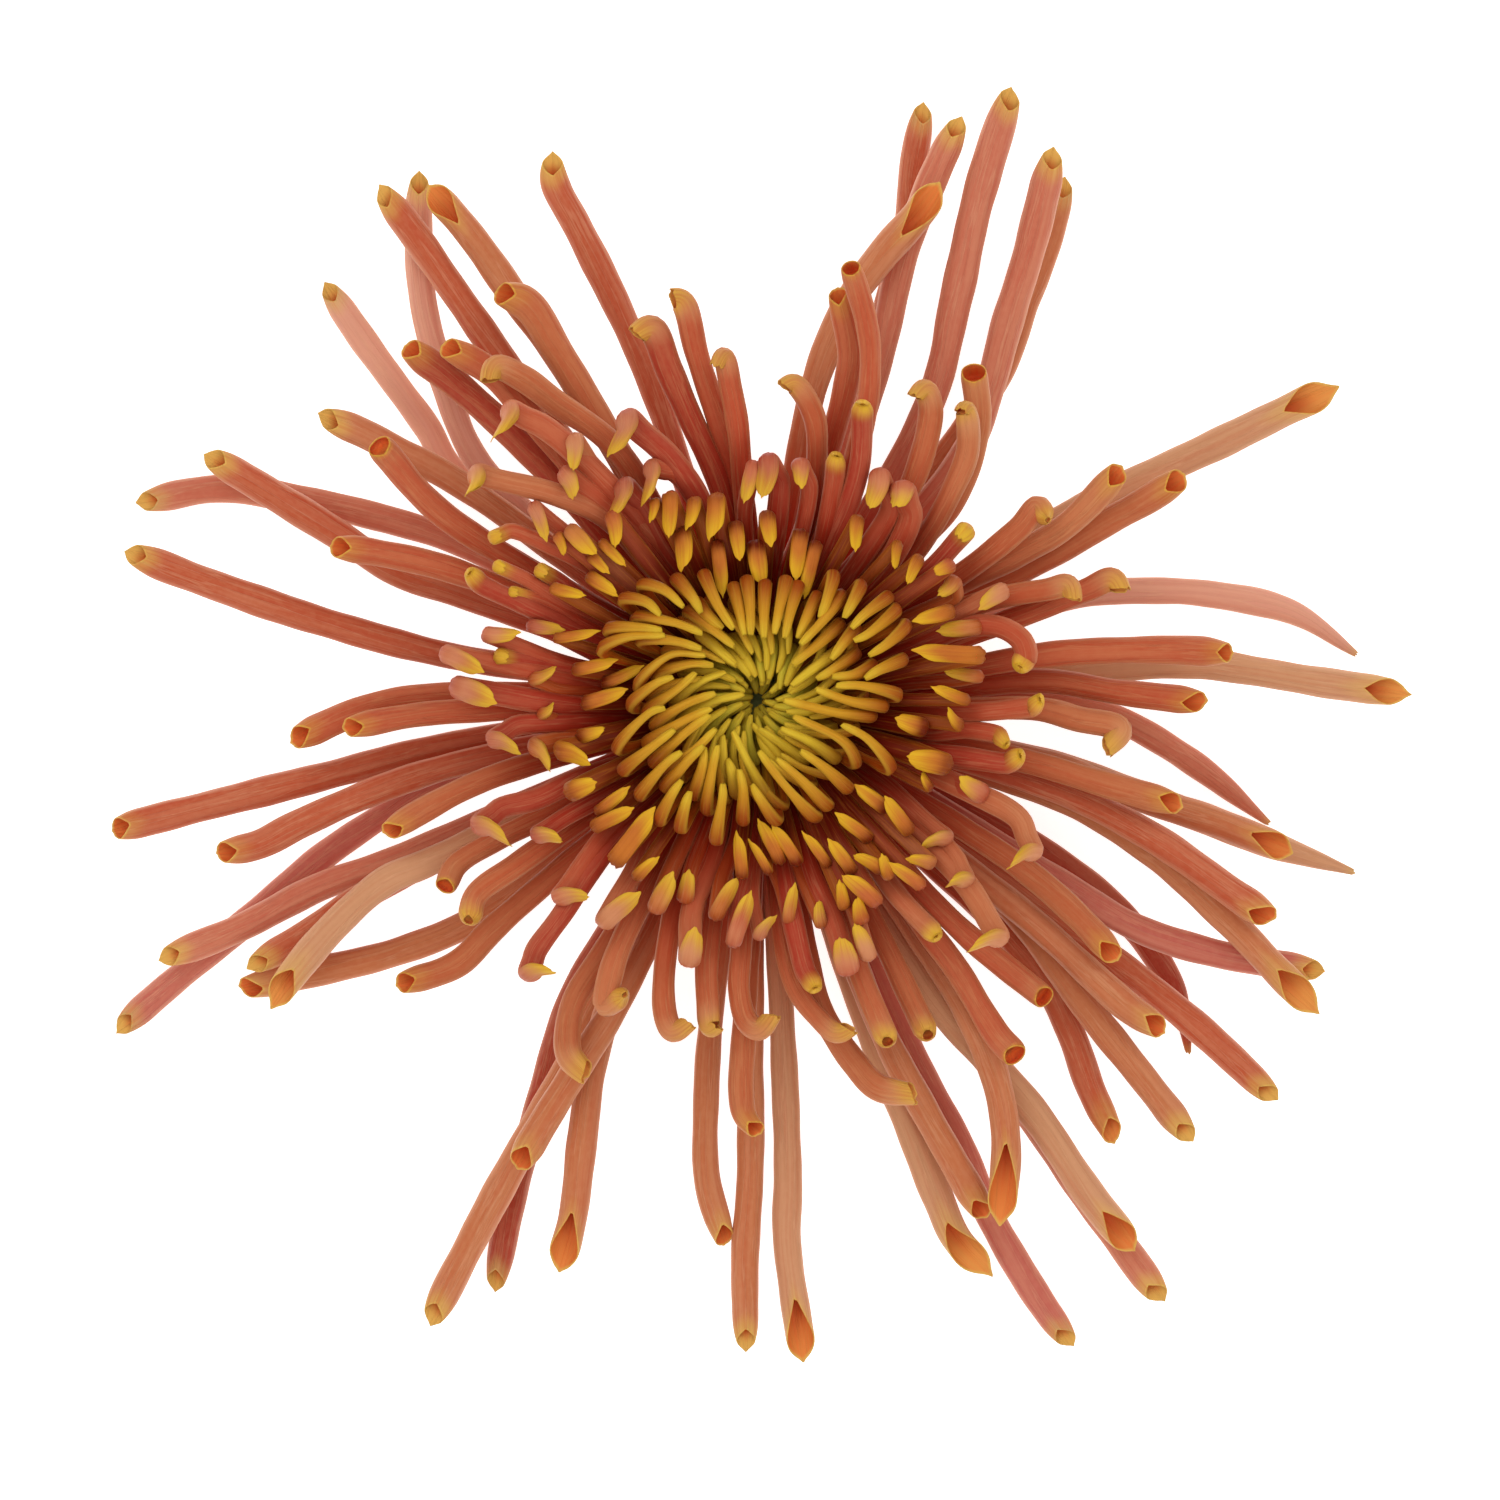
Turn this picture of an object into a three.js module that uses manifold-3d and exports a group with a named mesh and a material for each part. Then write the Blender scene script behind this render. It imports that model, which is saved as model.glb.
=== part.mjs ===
// Head of a spider chrysanthemum, face up, cut just under the bloom.
// Millimetres, +Z up, the cut end of the stem and the lowest quills at z = 0.
import * as THREE from "three";
import { mergeVertices } from "three/addons/utils/BufferGeometryUtils.js";
import Module from "manifold-3d";

const wasm = await Module();
wasm.setup();

// Driving dimensions.
const EYE_X = -0.45; // the stem's axis, from the middle of the footprint
const EYE_Y = 2.35;
const STEM_RADIUS = 3.1;
const STEM_TOP = 6.2;
const CLEARANCE = 0.3; // air between neighbouring pieces
const DOME_RADIUS = 10.9;
const QUILL_FLATNESS = 0.84; // a quill's height over its width
const QUILL_ROOT_WIDTH = 1.1;
const CLAW_ROOT_WIDTH = 0.55;
const CLAW_TIP_NARROWING = 0.55;
const BRACT_COUNT = 10;
const BRACT_FLATNESS = 0.24;
const BRACT_THICKNESS = 0.45; // of the collar that carries a ring of bracts
const BRACT_ROOT_WIDTH = 1.8;
const TOUCH_HEIGHT = 0.06; // the lowest quills' tips over the surface
const FULL_WIDTH_REACH = 20; // distance over which a quill swells to its full width
const CREST_REACH = 30; // distance from the axis at which the outer quills start to droop
const DROOP_REACH = 36;
const DROOP = 5.4;
const DROOP_POWER = 1.5;
const TIP_NARROWING = 0.35; // share of its width that a quill loses at its tip
const LEVEL_CREST = [7.6, 10.7, 13.8, 16.9, 20.0, 23.1]; // heights of the six outer levels
const ROOT_SPACING = 8 * Math.PI / 180; // least angle between two quill roots of one level
const MIDDLE_SPACING = 0.9 * ROOT_SPACING;
const CLAW_SPACING = 0.7 * ROOT_SPACING;
const ROOT_BAND_THICKNESS = 0.5;
const CURL_HEIGHT = 1.2; // a claw's rise over its tube, as a multiple of its width
const CLAW_SHOULDER_RISE = 0.3; // the same for its shoulder
const HOOK_HEIGHT = 0.8; // the same two for a quill whose tip turns back
const HOOK_SHOULDER_RISE = 0.25;
const CENTRE_NARROW = 0.9; // widths of the innermost and outermost centre quills
const CENTRE_WIDE = 1.5;
const CENTRE_ARCH = 1.6; // how far a centre quill's middle and its tip lie over its shoulder
const CENTRE_TIP_RISE = 1.5;

// Where each group of quills is rooted on the dome: distance from the axis and height.
const OUTER_ROOTS = [
  { radius: 11.6, height: 8.7 },
  { radius: 11.6, height: 10.3 },
  { radius: 11.3, height: 11.9 },
  { radius: 10.7, height: 13.4 },
];
const MIDDLE_ROOTS = { radius: 9.3, height: 14.9 };
const CLAW_ROOTS = { radius: 7.7, height: 16.3 };
const INNER_CLAW_ROOTS = { radius: 5.9, height: 17.5 };
const CENTRE_ROOTS = { radius: 3.4, height: 18.4 };

// Height of a claw's tube against its distance from the axis.
const CLAW_RISE = [[7.7, 16.3], [13, 19.6], [19, 23.0], [25, 25.2], [31, 26.2]];
const INNER_CLAW_RISE = [[5.9, 17.5], [10, 20.6], [14, 23.6], [18, 25.6], [22, 26.6]];
const CENTRE_RISE = [[3.4, 18.4], [6, 22.4], [9, 25.0], [13, 27.0], [16, 27.6]];

const COLOURS = {
  stem: "#7d9a58",
  receptacle: "#b7bd84",
  bracts: "#5f7f46",
  lower: "#cf8370",
  outer: "#bc6242",
  middle: "#b9603a",
  claw: "#c87a3c",
  innerClaw: "#d79b33",
  centre: "#b6a02e",
};

// Each outer quill: level, full width, then x, y from the eye along its length to its tip.
const OUTER_QUILLS = [
  [1, 3.0, 44, 3.6, 50, 2.9, 56, 1.9, 65.5, 0.6],
  [0, 2.8, 32, 10.4, 40, 11, 46, 10.6, 54, 8.8, 60.1, 4.8],
  [1, 3.2, 30, 17.9, 38, 21.9, 46, 25.6, 54, 29.5, 58.3, 31.5],
  [0, 2.8, 24.5, 33, 27, 40, 29.3, 46, 31, 52.4],
  [1, 3.2, 21, 25, 23, 30, 25, 37.5, 27.3, 45, 29.8, 55.2],
  [1, 3.3, 17.4, 30, 19.9, 40, 22.1, 50, 24.5, 58, 25.6, 61.2],
  [2, 3.2, 5.6, 31, 9, 39.5, 12.5, 44.5, 16, 48.5, 18.3, 51.7],
  [1, 3.0, 12, 33, 14.5, 44, 17.3, 51.5, 20.4, 58.3],
  [0, 2.7, 12.5, 38, 15, 47, 15.6, 53, 16.8, 59.9],
  [1, 3.0, -10.5, 31.5, -14, 39.5, -18, 47.5, -20.3, 52, -20.5, 54.7],
  [2, 3.0, -16, 28, -20, 34.5, -24, 40, -29, 47, -32.9, 51.4],
  [1, 2.8, -27.5, 23.2, -31.4, 32, -33.5, 40, -34, 48, -33.9, 52.8],
  [2, 3.0, -24, 32, -30, 40.5, -34, 46.2, -37.8, 51.3],
  [0, 2.8, -30.8, 23.4, -33, 27.2, -36.5, 32, -40, 36.8, -43.4, 41.8],
  [2, 3.0, -30, 21.8, -36, 25, -40, 27, -43.7, 28.5],
  [1, 3.1, -31, 11, -36, 12.8, -42, 16.6, -50, 21.5, -55.2, 24.6],
  [0, 2.9, -30, 15.8, -40, 18.9, -46, 20.2, -54, 21.3, -62.2, 19.9],
  [1, 3.1, -30.5, 4.4, -44, 8, -56, 12.1, -63.2, 14.9],
  [1, 3.0, -30, -4.3, -44, -7.8, -56, -10.8, -64.6, -13],
  [2, 3.0, -30, -6.4, -38, -9, -46, -12.5, -50, -14.5, -53.9, -15.3],
  [1, 2.9, -29, -12.8, -36, -15.9, -44, -18.8, -52, -22.9, -59.8, -26],
  [0, 2.8, -30, -7, -37, -11.2, -44, -16, -52, -22.8, -60, -29.4, -64.3, -33.2],
  [2, 2.8, -32, -15.8, -40, -20, -45, -23.3, -50.8, -26.8],
  [1, 3.0, -28, -21.8, -36, -25.2, -44, -27.2, -51.7, -28.9],
  [3, 3.1, -33, -16.3, -37, -18, -42, -22.3, -46.5, -27.5, -48.6, -30.6],
  [1, 3.1, -16, -31, -19, -37, -25, -47.5, -30.3, -57.5, -32.8, -62.5],
  [3, 3.1, -13.5, -29.5, -17.5, -36, -21.5, -42.5, -23.9, -46.6],
  [0, 2.8, -18.7, -30, -21.7, -40, -24.6, -50, -26.4, -59.2],
  [2, 3.0, -14.5, -30, -16.5, -37, -17.5, -44, -18.5, -52, -19.9, -57.2],
  [1, 2.7, -4.6, -32, -5.1, -40, -5, -48, -3.2, -54.4],
  [1, 2.8, -0.6, -34, -0.7, -48, -1.2, -56, -1.1, -65.1],
  [1, 2.9, 2.6, -34, 3.1, -48, 3, -54, 4.7, -66.4],
  [1, 3.2, 10.5, -31, 15, -42, 18.2, -50, 20, -54, 23.5, -57.8],
  [2, 3.0, 12.5, -33, 17, -41.5, 21, -48.5, 22.8, -51.6],
  [3, 3.0, 20.3, -30, 23.6, -37, 24.9, -44, 24.3, -52.5],
  [0, 3.0, 15.8, -36, 20, -44, 23.5, -52, 28.2, -60, 31.6, -64.8],
  [2, 3.2, 17.8, -30, 24, -37, 28.2, -42, 33.5, -49.8, 37.8, -55.1],
  [1, 3.1, 19, -30, 27, -41, 34, -51, 40.7, -60.2],
  [1, 2.9, 27, -25.6, 31.3, -33, 33.5, -39, 36, -44.2],
  [2, 3.0, 26, -21.5, 32, -29.5, 38, -37, 43.5, -44],
  [0, 2.8, 28, -14.5, 36, -20.8, 41.5, -28, 42.9, -32, 43.4, -35.2],
  [3, 3.0, 28, -22.5, 34, -28, 37.3, -30.9, 40.6, -33],
  [1, 3.0, 29.6, -22, 36, -26.3, 44, -32.6, 52, -40],
  [2, 3.1, 32, -10.6, 40, -15.6, 48, -22.8, 52, -27, 56.3, -31.3],
  [1, 2.9, 30, -18, 38, -22.8, 46, -25.4, 56.7, -27.2],
  [3, 3.1, 28, -8.2, 32, -9.8, 40, -14, 48, -19.6, 51.5, -21.9],
  [1, 3.0, 30, -6.6, 36, -9, 46, -12.2, 53.6, -15.2],
  [0, 2.9, 30, -6.4, 40, -10, 48, -13.2, 59.8, -17.2],
  [0, 2.8, 30, -0.4, 36, -1.8, 44, -6.4, 51.3, -12.2],
];

// Each middle quill, straight or with a bent end: written as an outer quill.
const MIDDLE_QUILLS = [
  [4, 2.9, 28, 4.4, 40, 5, 47.2, 4.7],
  [5, 2.6, 22, 9.6, 29, 11, 31, 11.3, 31.6, 9.5],
  [4, 2.6, 20, 6, 28, 9, 33, 11, 35.5, 12, 36.6, 10.5],
  [3, 3.0, 28, 13.7, 35, 17.8, 39, 20, 42.6, 22.3],
  [4, 2.9, 20, 11.5, 26, 14.5, 31, 17.5, 36.3, 23],
  [5, 2.6, 18, 11, 26, 17, 28, 19.2, 29.2, 17.6],
  [5, 2.5, 15.5, 14.5, 19.5, 21, 21, 25, 20.7, 29, 20.2, 28.3],
  [4, 2.8, 19, 19, 22, 27, 21.6, 33.3],
  [5, 2.8, 12, 16, 15.8, 22.5, 17.3, 29, 16.6, 30.9, 15.4, 29.8],
  [5, 3.0, 10.5, 27, 11.3, 34, 10.8, 38, 9.2, 43.5],
  [4, 2.8, 9, 32, 9.3, 35, 8, 40.8],
  [5, 2.4, 5, 18, 6, 25, 5.6, 28.5, 3.6, 31.5, 2.2, 31],
  [5, 2.4, -1.3, 20, -1.9, 27, -2.6, 31, -3.4, 34.2, -4.2, 32.8],
  [4, 2.6, -1.6, 21, -3.9, 28, -6, 34.5, -7.5, 39.8, -8.9, 40.2],
  [4, 3.1, -3.6, 21, -6.6, 28, -8.8, 33, -10.6, 37, -12.5, 36.2],
  [4, 3.3, -14, 25, -20, 35, -23, 39.5, -25.8, 40.6],
  [5, 2.8, -14, 25, -20.2, 29.7, -23.3, 32, -26, 33.1, -26.8, 31.3],
  [4, 2.9, -24, 30, -27, 33, -31.2, 35.3],
  [3, 3.1, -22.8, 24.8, -30, 31.5, -35, 35.3],
  [4, 2.9, -30, 17.5, -34, 21, -36.5, 24, -38, 25.7],
  [4, 2.9, -30, 12.8, -38, 14.7, -42.3, 15.3],
  [3, 2.9, -30, 0.5, -38, -0.5, -46.4, -4],
  [4, 2.7, -27, -1, -34, -1.5, -41, -2.8],
  [4, 2.8, -27, -7.9, -34, -11.4, -36.9, -13.2],
  [4, 2.5, -21, -11.5, -26, -14, -30, -16.5, -31.3, -19],
  [5, 2.7, -19, -13, -24, -16.5, -28, -19.5, -28.8, -22.5],
  [3, 2.9, -26, -22.5, -30, -26.4, -35.8, -28.4],
  [4, 2.8, -14.5, -24, -18.2, -30, -18.9, -33, -18.7, -35.5, -16.7, -37.7],
  [5, 2.8, -12.5, -22, -14.5, -27, -15, -30.4, -12.8, -29.2],
  [5, 2.5, -8.5, -22, -9.2, -31, -8.3, -33, -6.3, -31.9],
  [5, 2.6, -5, -26, -4.9, -30, -4.6, -32.7, -3.6, -32.2],
  [5, 2.5, -1.6, -25, -1.8, -29, -1, -32, 0.3, -32.8, 1.9, -31],
  [4, 2.7, -1.3, -33, -1.6, -39, -1.2, -41.5, 0.1, -43],
  [5, 2.2, 2.8, -25, 4, -29, 6, -31.6, 8, -33.2, 9.8, -32.5],
  [4, 2.8, 6, -30, 7.8, -33.5, 9.8, -36.3, 12, -38.6, 16.2, -39.5],
  [5, 2.6, 8.5, -22, 10.5, -28, 13.3, -34.6],
  [4, 2.6, 10.5, -20, 13.5, -26, 17.3, -34],
  [4, 2.8, 17, -23, 20, -27, 24, -33.5, 26.1, -35.8],
  [4, 2.7, 16, -18.5, 21, -23.5, 29, -30],
  [4, 2.9, 27, -17.2, 33, -22.6, 35.8, -25.8],
  [4, 2.9, 26, -5.9, 34, -8.2, 42.2, -10.5],
  [4, 2.8, 28, -0.9, 32, -1.9, 36.2, -3, 34.5, -5.3],
  [3, 2.8, 28, 1.9, 36, 0.8, 44.7, -0.2],
];

// Each claw: full width, then x, y along its tube to its shoulder and, last, its tip.
const CLAWS = [
  [2.4, -13.5, 20, -21, 27, -24.2, 28.6, -26, 25.8],
  [1.9, -11, 17, -16.5, 23.3, -18, 25.6, -18.3, 23.1],
  [2.0, -12, 16.5, -16, 20.3, -18.8, 22.3, -18.2, 20.3],
  [2.3, -15, 18, -20, 20.4, -27.5, 22.3, -28.6, 20.4],
  [1.6, -19, 16.5, -22, 19, -21, 16.1],
  [1.6, -16, 12.8, -20, 15, -24.5, 16.8, -26, 16.2],
  [2.6, -5.5, 19.3, -8.8, 24.2, -12.6, 27.6, -14.5, 24.3],
  [2.2, -9, 15, -11.5, 19.5, -13, 21, -14.5, 18],
  [1.5, -19, 9.5, -23, 12, -25.6, 13.2],
  [1.6, -17, 10, -20, 12, -21.4, 12.8],
  [2.0, -20, 8, -24, 9.8, -27.5, 11.5, -28.7, 12.8],
  [2.0, 6, 14, 7, 18, 7.7, 22, 7.9, 24.5],
  [2.2, 7.5, 16, 9.3, 20, 10.3, 24, 10.5, 29.6],
  [1.8, 4.3, 16, 5.2, 21.4, 4.4, 23.2, 4.3, 21.4],
  [1.6, -1, 15, -1.2, 19, -0.4, 23.1, -1.2, 19.9],
  [2.2, 2, 18, 2.2, 22, 1.3, 23.5, 0.5, 20.4],
  [2.1, -5, 18.6, -8.3, 22.7, -10.2, 23, -11.2, 19.4],
  [2.2, 11, 15, 13.4, 19.5, 12.3, 22, 11.3, 19.3],
  [2.5, 13.3, 14, 15.3, 18.5, 14.6, 20.6, 13.9, 19.4],
  [2.0, 14, 10.5, 17.5, 13.2, 20.6, 16.6],
  [1.8, 15, 8, 19.8, 10.4, 19.6, 11.5, 18.3, 10.6],
  [1.3, -17, 7.5, -21, 9.8, -24.2, 10.7],
  [1.7, -19, 3.6, -23, 5, -26.6, 6.4, -23.9, 6.5],
  [1.4, -15, 4, -20, 6.4, -22.3, 7.3, -19.5, 7],
  [1.7, -18, 3, -22, 3.8, -25.4, 4.3],
  [2.0, -20, 2.4, -26, 3.6, -30.6, 4.5, -27.5, 2.9],
  [2.4, -20, -0.4, -26, 0.6, -29.4, 1.2, -26.2, -0.1],
  [1.5, -16, 1, -20, 1.2, -22, 2, -20.2, 3],
  [1.5, -16, -3, -19, -2.6, -21.2, -1.5, -20.3, -0.6],
  [2.0, -19, -2.3, -24, -2.6, -26, -3.8, -23.8, -5.1],
  [2.0, -16, -3.8, -20, -4.2, -21.8, -4.6, -20.6, -6.7],
  [1.8, 17, 7, 22.5, 10, 24.2, 10.7, 22.3, 9.3],
  [1.7, 14, 5, 19, 6.6, 21.6, 7.2, 18.2, 6.9],
  [2.3, 16, 5.5, 24, 7.3, 26.4, 7.2, 27.2, 5.4, 25.9, 3],
  [1.4, 15, 1.6, 20, 2, 21.9, 2.3, 18.9, 2.8],
  [2.0, 16, -1, 22, -1.2, 27.5, -0.7, 28.3, 0.2],
  [1.8, 17, -3.3, 21, -3, 24, -3.5, 24.9, -4.6],
  [2.2, 16, -5, 21, -5.8, 25, -6.3, 26.4, -5.4],
  [2.1, 15, -6, 20, -8.4, 22, -9.2, 20.4, -8],
  [2.3, -18, -8, -22, -9.9, -25.5, -10.8, -27.3, -12.3, -24.5, -14.1],
  [1.9, -15, -9.4, -19, -11.6, -21.6, -13.3, -19.6, -13.8],
  [2.1, -12.5, -11, -15.5, -14, -19.4, -19.4, -17, -19.5],
  [2.2, -15, -15, -19.5, -21.5, -22, -25, -22.6, -26.9, -20.4, -26.9],
  [2.1, -10.5, -13.5, -12.5, -17.5, -15, -21.8, -11.9, -19.3],
  [1.9, -7, -13.5, -9, -18, -9.9, -20.4, -8.4, -17.5],
  [1.8, -5, -13, -6.5, -17, -7.1, -19.5, -6.8, -17.3],
  [2.3, -4.5, -16, -6.5, -21, -6.7, -25.5, -6.1, -23],
  [1.7, -2, -13.5, -3.5, -18, -4, -21.2, -2.1, -17.9],
  [1.7, -0.5, -15, -1.8, -20, -2.3, -23.9, -0.7, -19.3],
  [1.5, -0.2, -15, -0.4, -20, 0.2, -23.2, 1.6, -21.7],
  [1.3, 1, -15, 2.4, -19, 3.1, -21.7, 3.7, -18.6],
  [1.4, 3.5, -15, 5.2, -19.5, 6.3, -22.1, 6.1, -20.3],
  [2.4, 5.5, -17, 7.6, -22, 8.9, -26.3, 8.4, -23.9],
  [1.7, 6.5, -15, 9.5, -20.5, 11, -25.2, 9.9, -22.5],
  [2.2, 3, -19, 3.8, -23, 4.8, -27, 5.9, -28.9],
  [1.8, 13, -8.5, 16.5, -11.8, 18.6, -13.6, 16.4, -14.5],
  [2.0, 14, -10, 19.8, -15.8, 20.6, -17.6, 18.9, -18.3],
  [2.3, 20, -8.6, 26, -11.8, 27.3, -14.8, 25, -16.4],
  [2.3, 17, -14.5, 21, -18.6, 23.9, -23.4, 21, -24.7],
  [2.1, 11.5, -16, 14, -19.5, 18, -23.7],
];

// Each inner claw, rooted at its own bearing: width, shoulder x, y, tip x, y.
const INNER_CLAWS = [
  [1.8, -14.2, 18, -14, 15.5], [1.8, -18.3, 16.6, -16.3, 14.5], [1.2, -19.7, 16.1, -19.2, 14.7],
  [1.1, -15.3, 15.5, -13.3, 13.5], [1.2, -16.3, 14.1, -15, 12.8], [1.4, -16.4, 12.1, -14, 10.6],
  [1.2, -10.1, 19.5, -10.5, 18], [1.7, -8.6, 20, -8.8, 16.4], [1.5, -6.2, 19.5, -6.8, 17.2],
  [1.9, -4, 19.7, -4.4, 16.1], [1.9, -7.3, 16.2, -7.3, 13.1], [1.5, -2.1, 17.1, -1.7, 14.1],
  [1.7, 1, 18, 1.4, 15.6], [1.4, -3.9, 15.3, -3.4, 10.5], [1.9, -0.1, 15, 0.4, 11.7],
  [1.6, 4.3, 16.3, 3.8, 12.1], [1.4, 5.8, 15.2, 4.6, 10.3], [1.5, 9.9, 17.7, 9.8, 15.1],
  [1.2, 13.9, 15.3, 13.7, 13.3], [1.4, 15.9, 13.8, 15.1, 11.8], [1.7, 18.9, 13.2, 17.9, 12.8],
  [1.3, -20, 11, -17.4, 10.4], [1.1, -19.8, 6.1, -15.9, 6.7], [1.4, -17.8, 3, -14.2, 3.8],
  [1.4, -14.9, 1.7, -11.6, 3.2], [1.5, -16.9, -0.3, -13.1, 0.9], [1.5, -17.3, -3.6, -15.4, -3.1],
  [2.1, -19.2, -5, -16.9, -6.2], [2.1, -18.2, -9, -16.3, -8.3], [1.3, -15.6, -11, -12.9, -8.9],
  [1.5, -15.9, -12.5, -12.5, -10.9], [1.5, 19, 8.7, 15.8, 7.9], [1.8, 21.9, 4.4, 15.7, 4.8],
  [1.3, 20.6, 0, 17.7, 1.2], [2.0, 16.1, -2.7, 14.1, -2], [1.4, 19.9, -2.5, 19.1, -1.2],
  [2.4, 18.3, -6.3, 15.2, -5.8], [1.2, 17, -8.6, 16.5, -7.5], [1.6, 14.9, -12.8, 12.8, -9.9],
  [1.5, 12.5, -10.6, 10, -8.7], [1.3, -11.8, -17.4, -10.1, -15.8], [1.9, -13.9, -15.8, -10.2, -11],
  [1.3, -1.5, -17.3, -1.9, -13.4], [1.0, 1.1, -17, -0.6, -14.1], [1.4, 2.2, -15.8, 0.3, -12.1],
  [1.4, 3.9, -15.9, 1.7, -12.6], [1.1, 6.9, -16.2, 4.8, -13.3], [1.4, 9.3, -16.8, 7.3, -14.1],
  [1.5, 12.1, -16.6, 9.9, -15.5], [1.8, 11.6, -19.8, 8.8, -17.5], [1.3, 8.6, -20.3, 8.3, -18.3],
  [1.6, 10.3, -21.7, 10, -19.9], [1.4, 10.9, -13.6, 8, -11.5], [1.4, 13, -17.3, 12.5, -15.7],
  [1.4, 16.1, -18.3, 13.4, -16.4], [1.5, 17.1, -16.1, 15.2, -15.8],
];

// Each outer centre quill, bent over the dome: x, y of its shoulder, its middle and its tip.
// The shortest quills inside them stand close enough to be one dimpled cushion.
const CENTRE_QUILLS = [
  [-11.4, 11.4, -9.2, 10.9, -7.2, 9.1], [-13.3, 10, -11, 9.7, -9.5, 8.3], [-14.8, 7, -12, 7.2, -9.3, 6.9],
  [-15.4, 5, -13, 6.2, -9, 6.4], [-12, 8.2, -8, 7.6, -5.3, 6.5], [-11.5, 6, -8, 5.8, -5.4, 5],
  [-11.8, 1.4, -8.5, 4.5, -5, 4.4], [-10, 2.5, -6.5, 3.6, -4.2, 3.4], [-12.5, -0.5, -9.9, 1.7, -8.2, 2.3],
  [-11, -1.2, -7.5, 1.4, -6, 2.8], [-8.3, -0.3, -5.2, 2, -3, 2.8], [-10.2, -2.5, -7, -0.4, -4, 0.7],
  [-8, -2.5, -5, -0.4, -1.2, 0.6], [-13.9, -4.8, -10.5, -1.2, -9, -0.8],
  [-11, -4.4, -7.5, -2.2, -4.4, -0.8], [-13.3, -7, -9.8, -4.2, -8.1, -2.9],
  [-10.3, -6.3, -7, -3.2, -4.6, -1.4], [-11.7, -9.5, -9, -6.3, -7.4, -5.1], [-9, -7.2, -6.2, -5, -4, -2.8],
  [-9.7, -12, -8.4, -9.3, -7.4, -7.9], [-9.2, -8.7, -7, -6.2, -5.2, -4.4],
  [-7.6, -12.8, -7, -10, -6.6, -9], [-6.2, -9.5, -5.4, -6.5, -5.2, -4.6],
  [-5, -11, -4.5, -7.2, -3.9, -4.4], [-4.1, -14, -3.4, -9.5, -3.4, -8.2],
  [-3.2, -8, -3.4, -5.7, -3.4, -3.4], [-2, -9.4, -2.5, -7.2, -3, -5.8],
  [-1.4, -12, -1.4, -8.8, -1.8, -6.8], [1.9, -12, 0.2, -9.7, -0.6, -8.3],
  [1, -9.5, -0.9, -6.2, -2.5, -3], [5.8, -11.7, 2.5, -8.2, 0.1, -5], [7, -10.6, 4.2, -7.8, 1.8, -5.8],
  [9, -8.8, 6.5, -6.6, 4.2, -5], [9.8, -6.3, 8.8, -4.3, 3.5, -1.6], [13.3, -6.8, 11, -3.9, 8.3, -2.4],
  [7.8, -5.8, 5, -4, 2.2, -2.8], [11.4, -1.6, 8.5, -1.4, 2.5, 0], [12.6, -0.6, 9.5, -0.2, 5.7, 1.1],
  [14, 0.5, 10.3, 1.4, 7.7, 1.4], [14.5, 4, 12, 2.9, 10.6, 2], [11.5, 3.4, 9.5, 2.4, 7.3, 2.3],
  [14.8, 7.4, 13, 5.6, 11, 4.3], [13.9, 9, 11, 6.5, 9.5, 5.8], [13, 10.2, 10.5, 8.3, 9.3, 7],
  [10.3, 11.4, 9.4, 9.5, 8.6, 8], [7.6, 12.4, 6.9, 9.8, 6.2, 8], [6, 10.3, 5, 8.3, 4, 6],
  [8.4, 10.4, 6.5, 7.8, 4.2, 5.4], [8.2, 7.5, 5.7, 5.2, 3.4, 3.4], [9.8, 7.2, 8.4, 5.4, 7.3, 3.9],
  [9.8, 4.6, 7.3, 2.8, 5.8, 2], [8.2, 4.9, 6, 3.4, 3.3, 1.3], [4.1, 11.4, 3.4, 9, 2.7, 6],
  [2.9, 11.9, 2.2, 9, 1.7, 6.4], [0.8, 11.5, 0.7, 9, 0.7, 6], [-1, 11.9, -0.7, 9.2, -0.6, 6.3],
  [-2.3, 11.2, -1.8, 9, -1.2, 6.3], [-5.3, 12.5, -3.8, 9.2, -2.3, 6.9], [-8, 12, -6.3, 10, -5.5, 8.5],
  [-6, 9.7, -4.8, 8.3, -3.3, 7], [-6.8, 8.8, -4, 6.7, -2.2, 5.2], [-5.6, 6.5, -3.6, 4.8, -2, 3.4],
];

const group = new THREE.Group();

/** Adds one named piece with its own material, placed over the eye. */
function addPiece(name, geometry, colour, roughness) {
  geometry.translate(EYE_X, EYE_Y, 0);
  const material = new THREE.MeshStandardMaterial({ color: colour, roughness, metalness: 0 });
  material.name = name.replace(/_\d+$/, "");
  const mesh = new THREE.Mesh(geometry, material);
  mesh.name = name;
  group.add(mesh);
}

/** Blends smoothly from 0 to 1 as value goes from low to high. */
function smooth(value, low, high) {
  return THREE.MathUtils.smoothstep(value, low, high);
}

/** Reads a rising curve of [reach, height] pairs at one reach. */
function readRise(rise, reach) {
  const last = rise.length - 1;
  const next = Math.min(Math.max(rise.findIndex((pair) => pair[0] > reach), 1) || last, last);
  const after = reach >= rise[last][0] ? last : next;
  const [lowReach, lowHeight] = rise[after - 1];
  const [highReach, highHeight] = rise[after];
  const share = THREE.MathUtils.clamp((reach - lowReach) / (highReach - lowReach), 0, 1);
  return lowHeight + (highHeight - lowHeight) * share;
}

/** How far down the droop has gone at one reach, as a share of DROOP. */
function droopShare(reach) {
  return (Math.max(reach - CREST_REACH, 0) / DROOP_REACH) ** DROOP_POWER;
}

/** Height of an outer or middle quill's centre line at one reach. */
function levelHeight(crest, roots, droop, reach) {
  const rise = roots.height + (crest - roots.height) * smooth(reach, roots.radius, CREST_REACH);
  return rise - droop * droopShare(reach);
}

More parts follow.
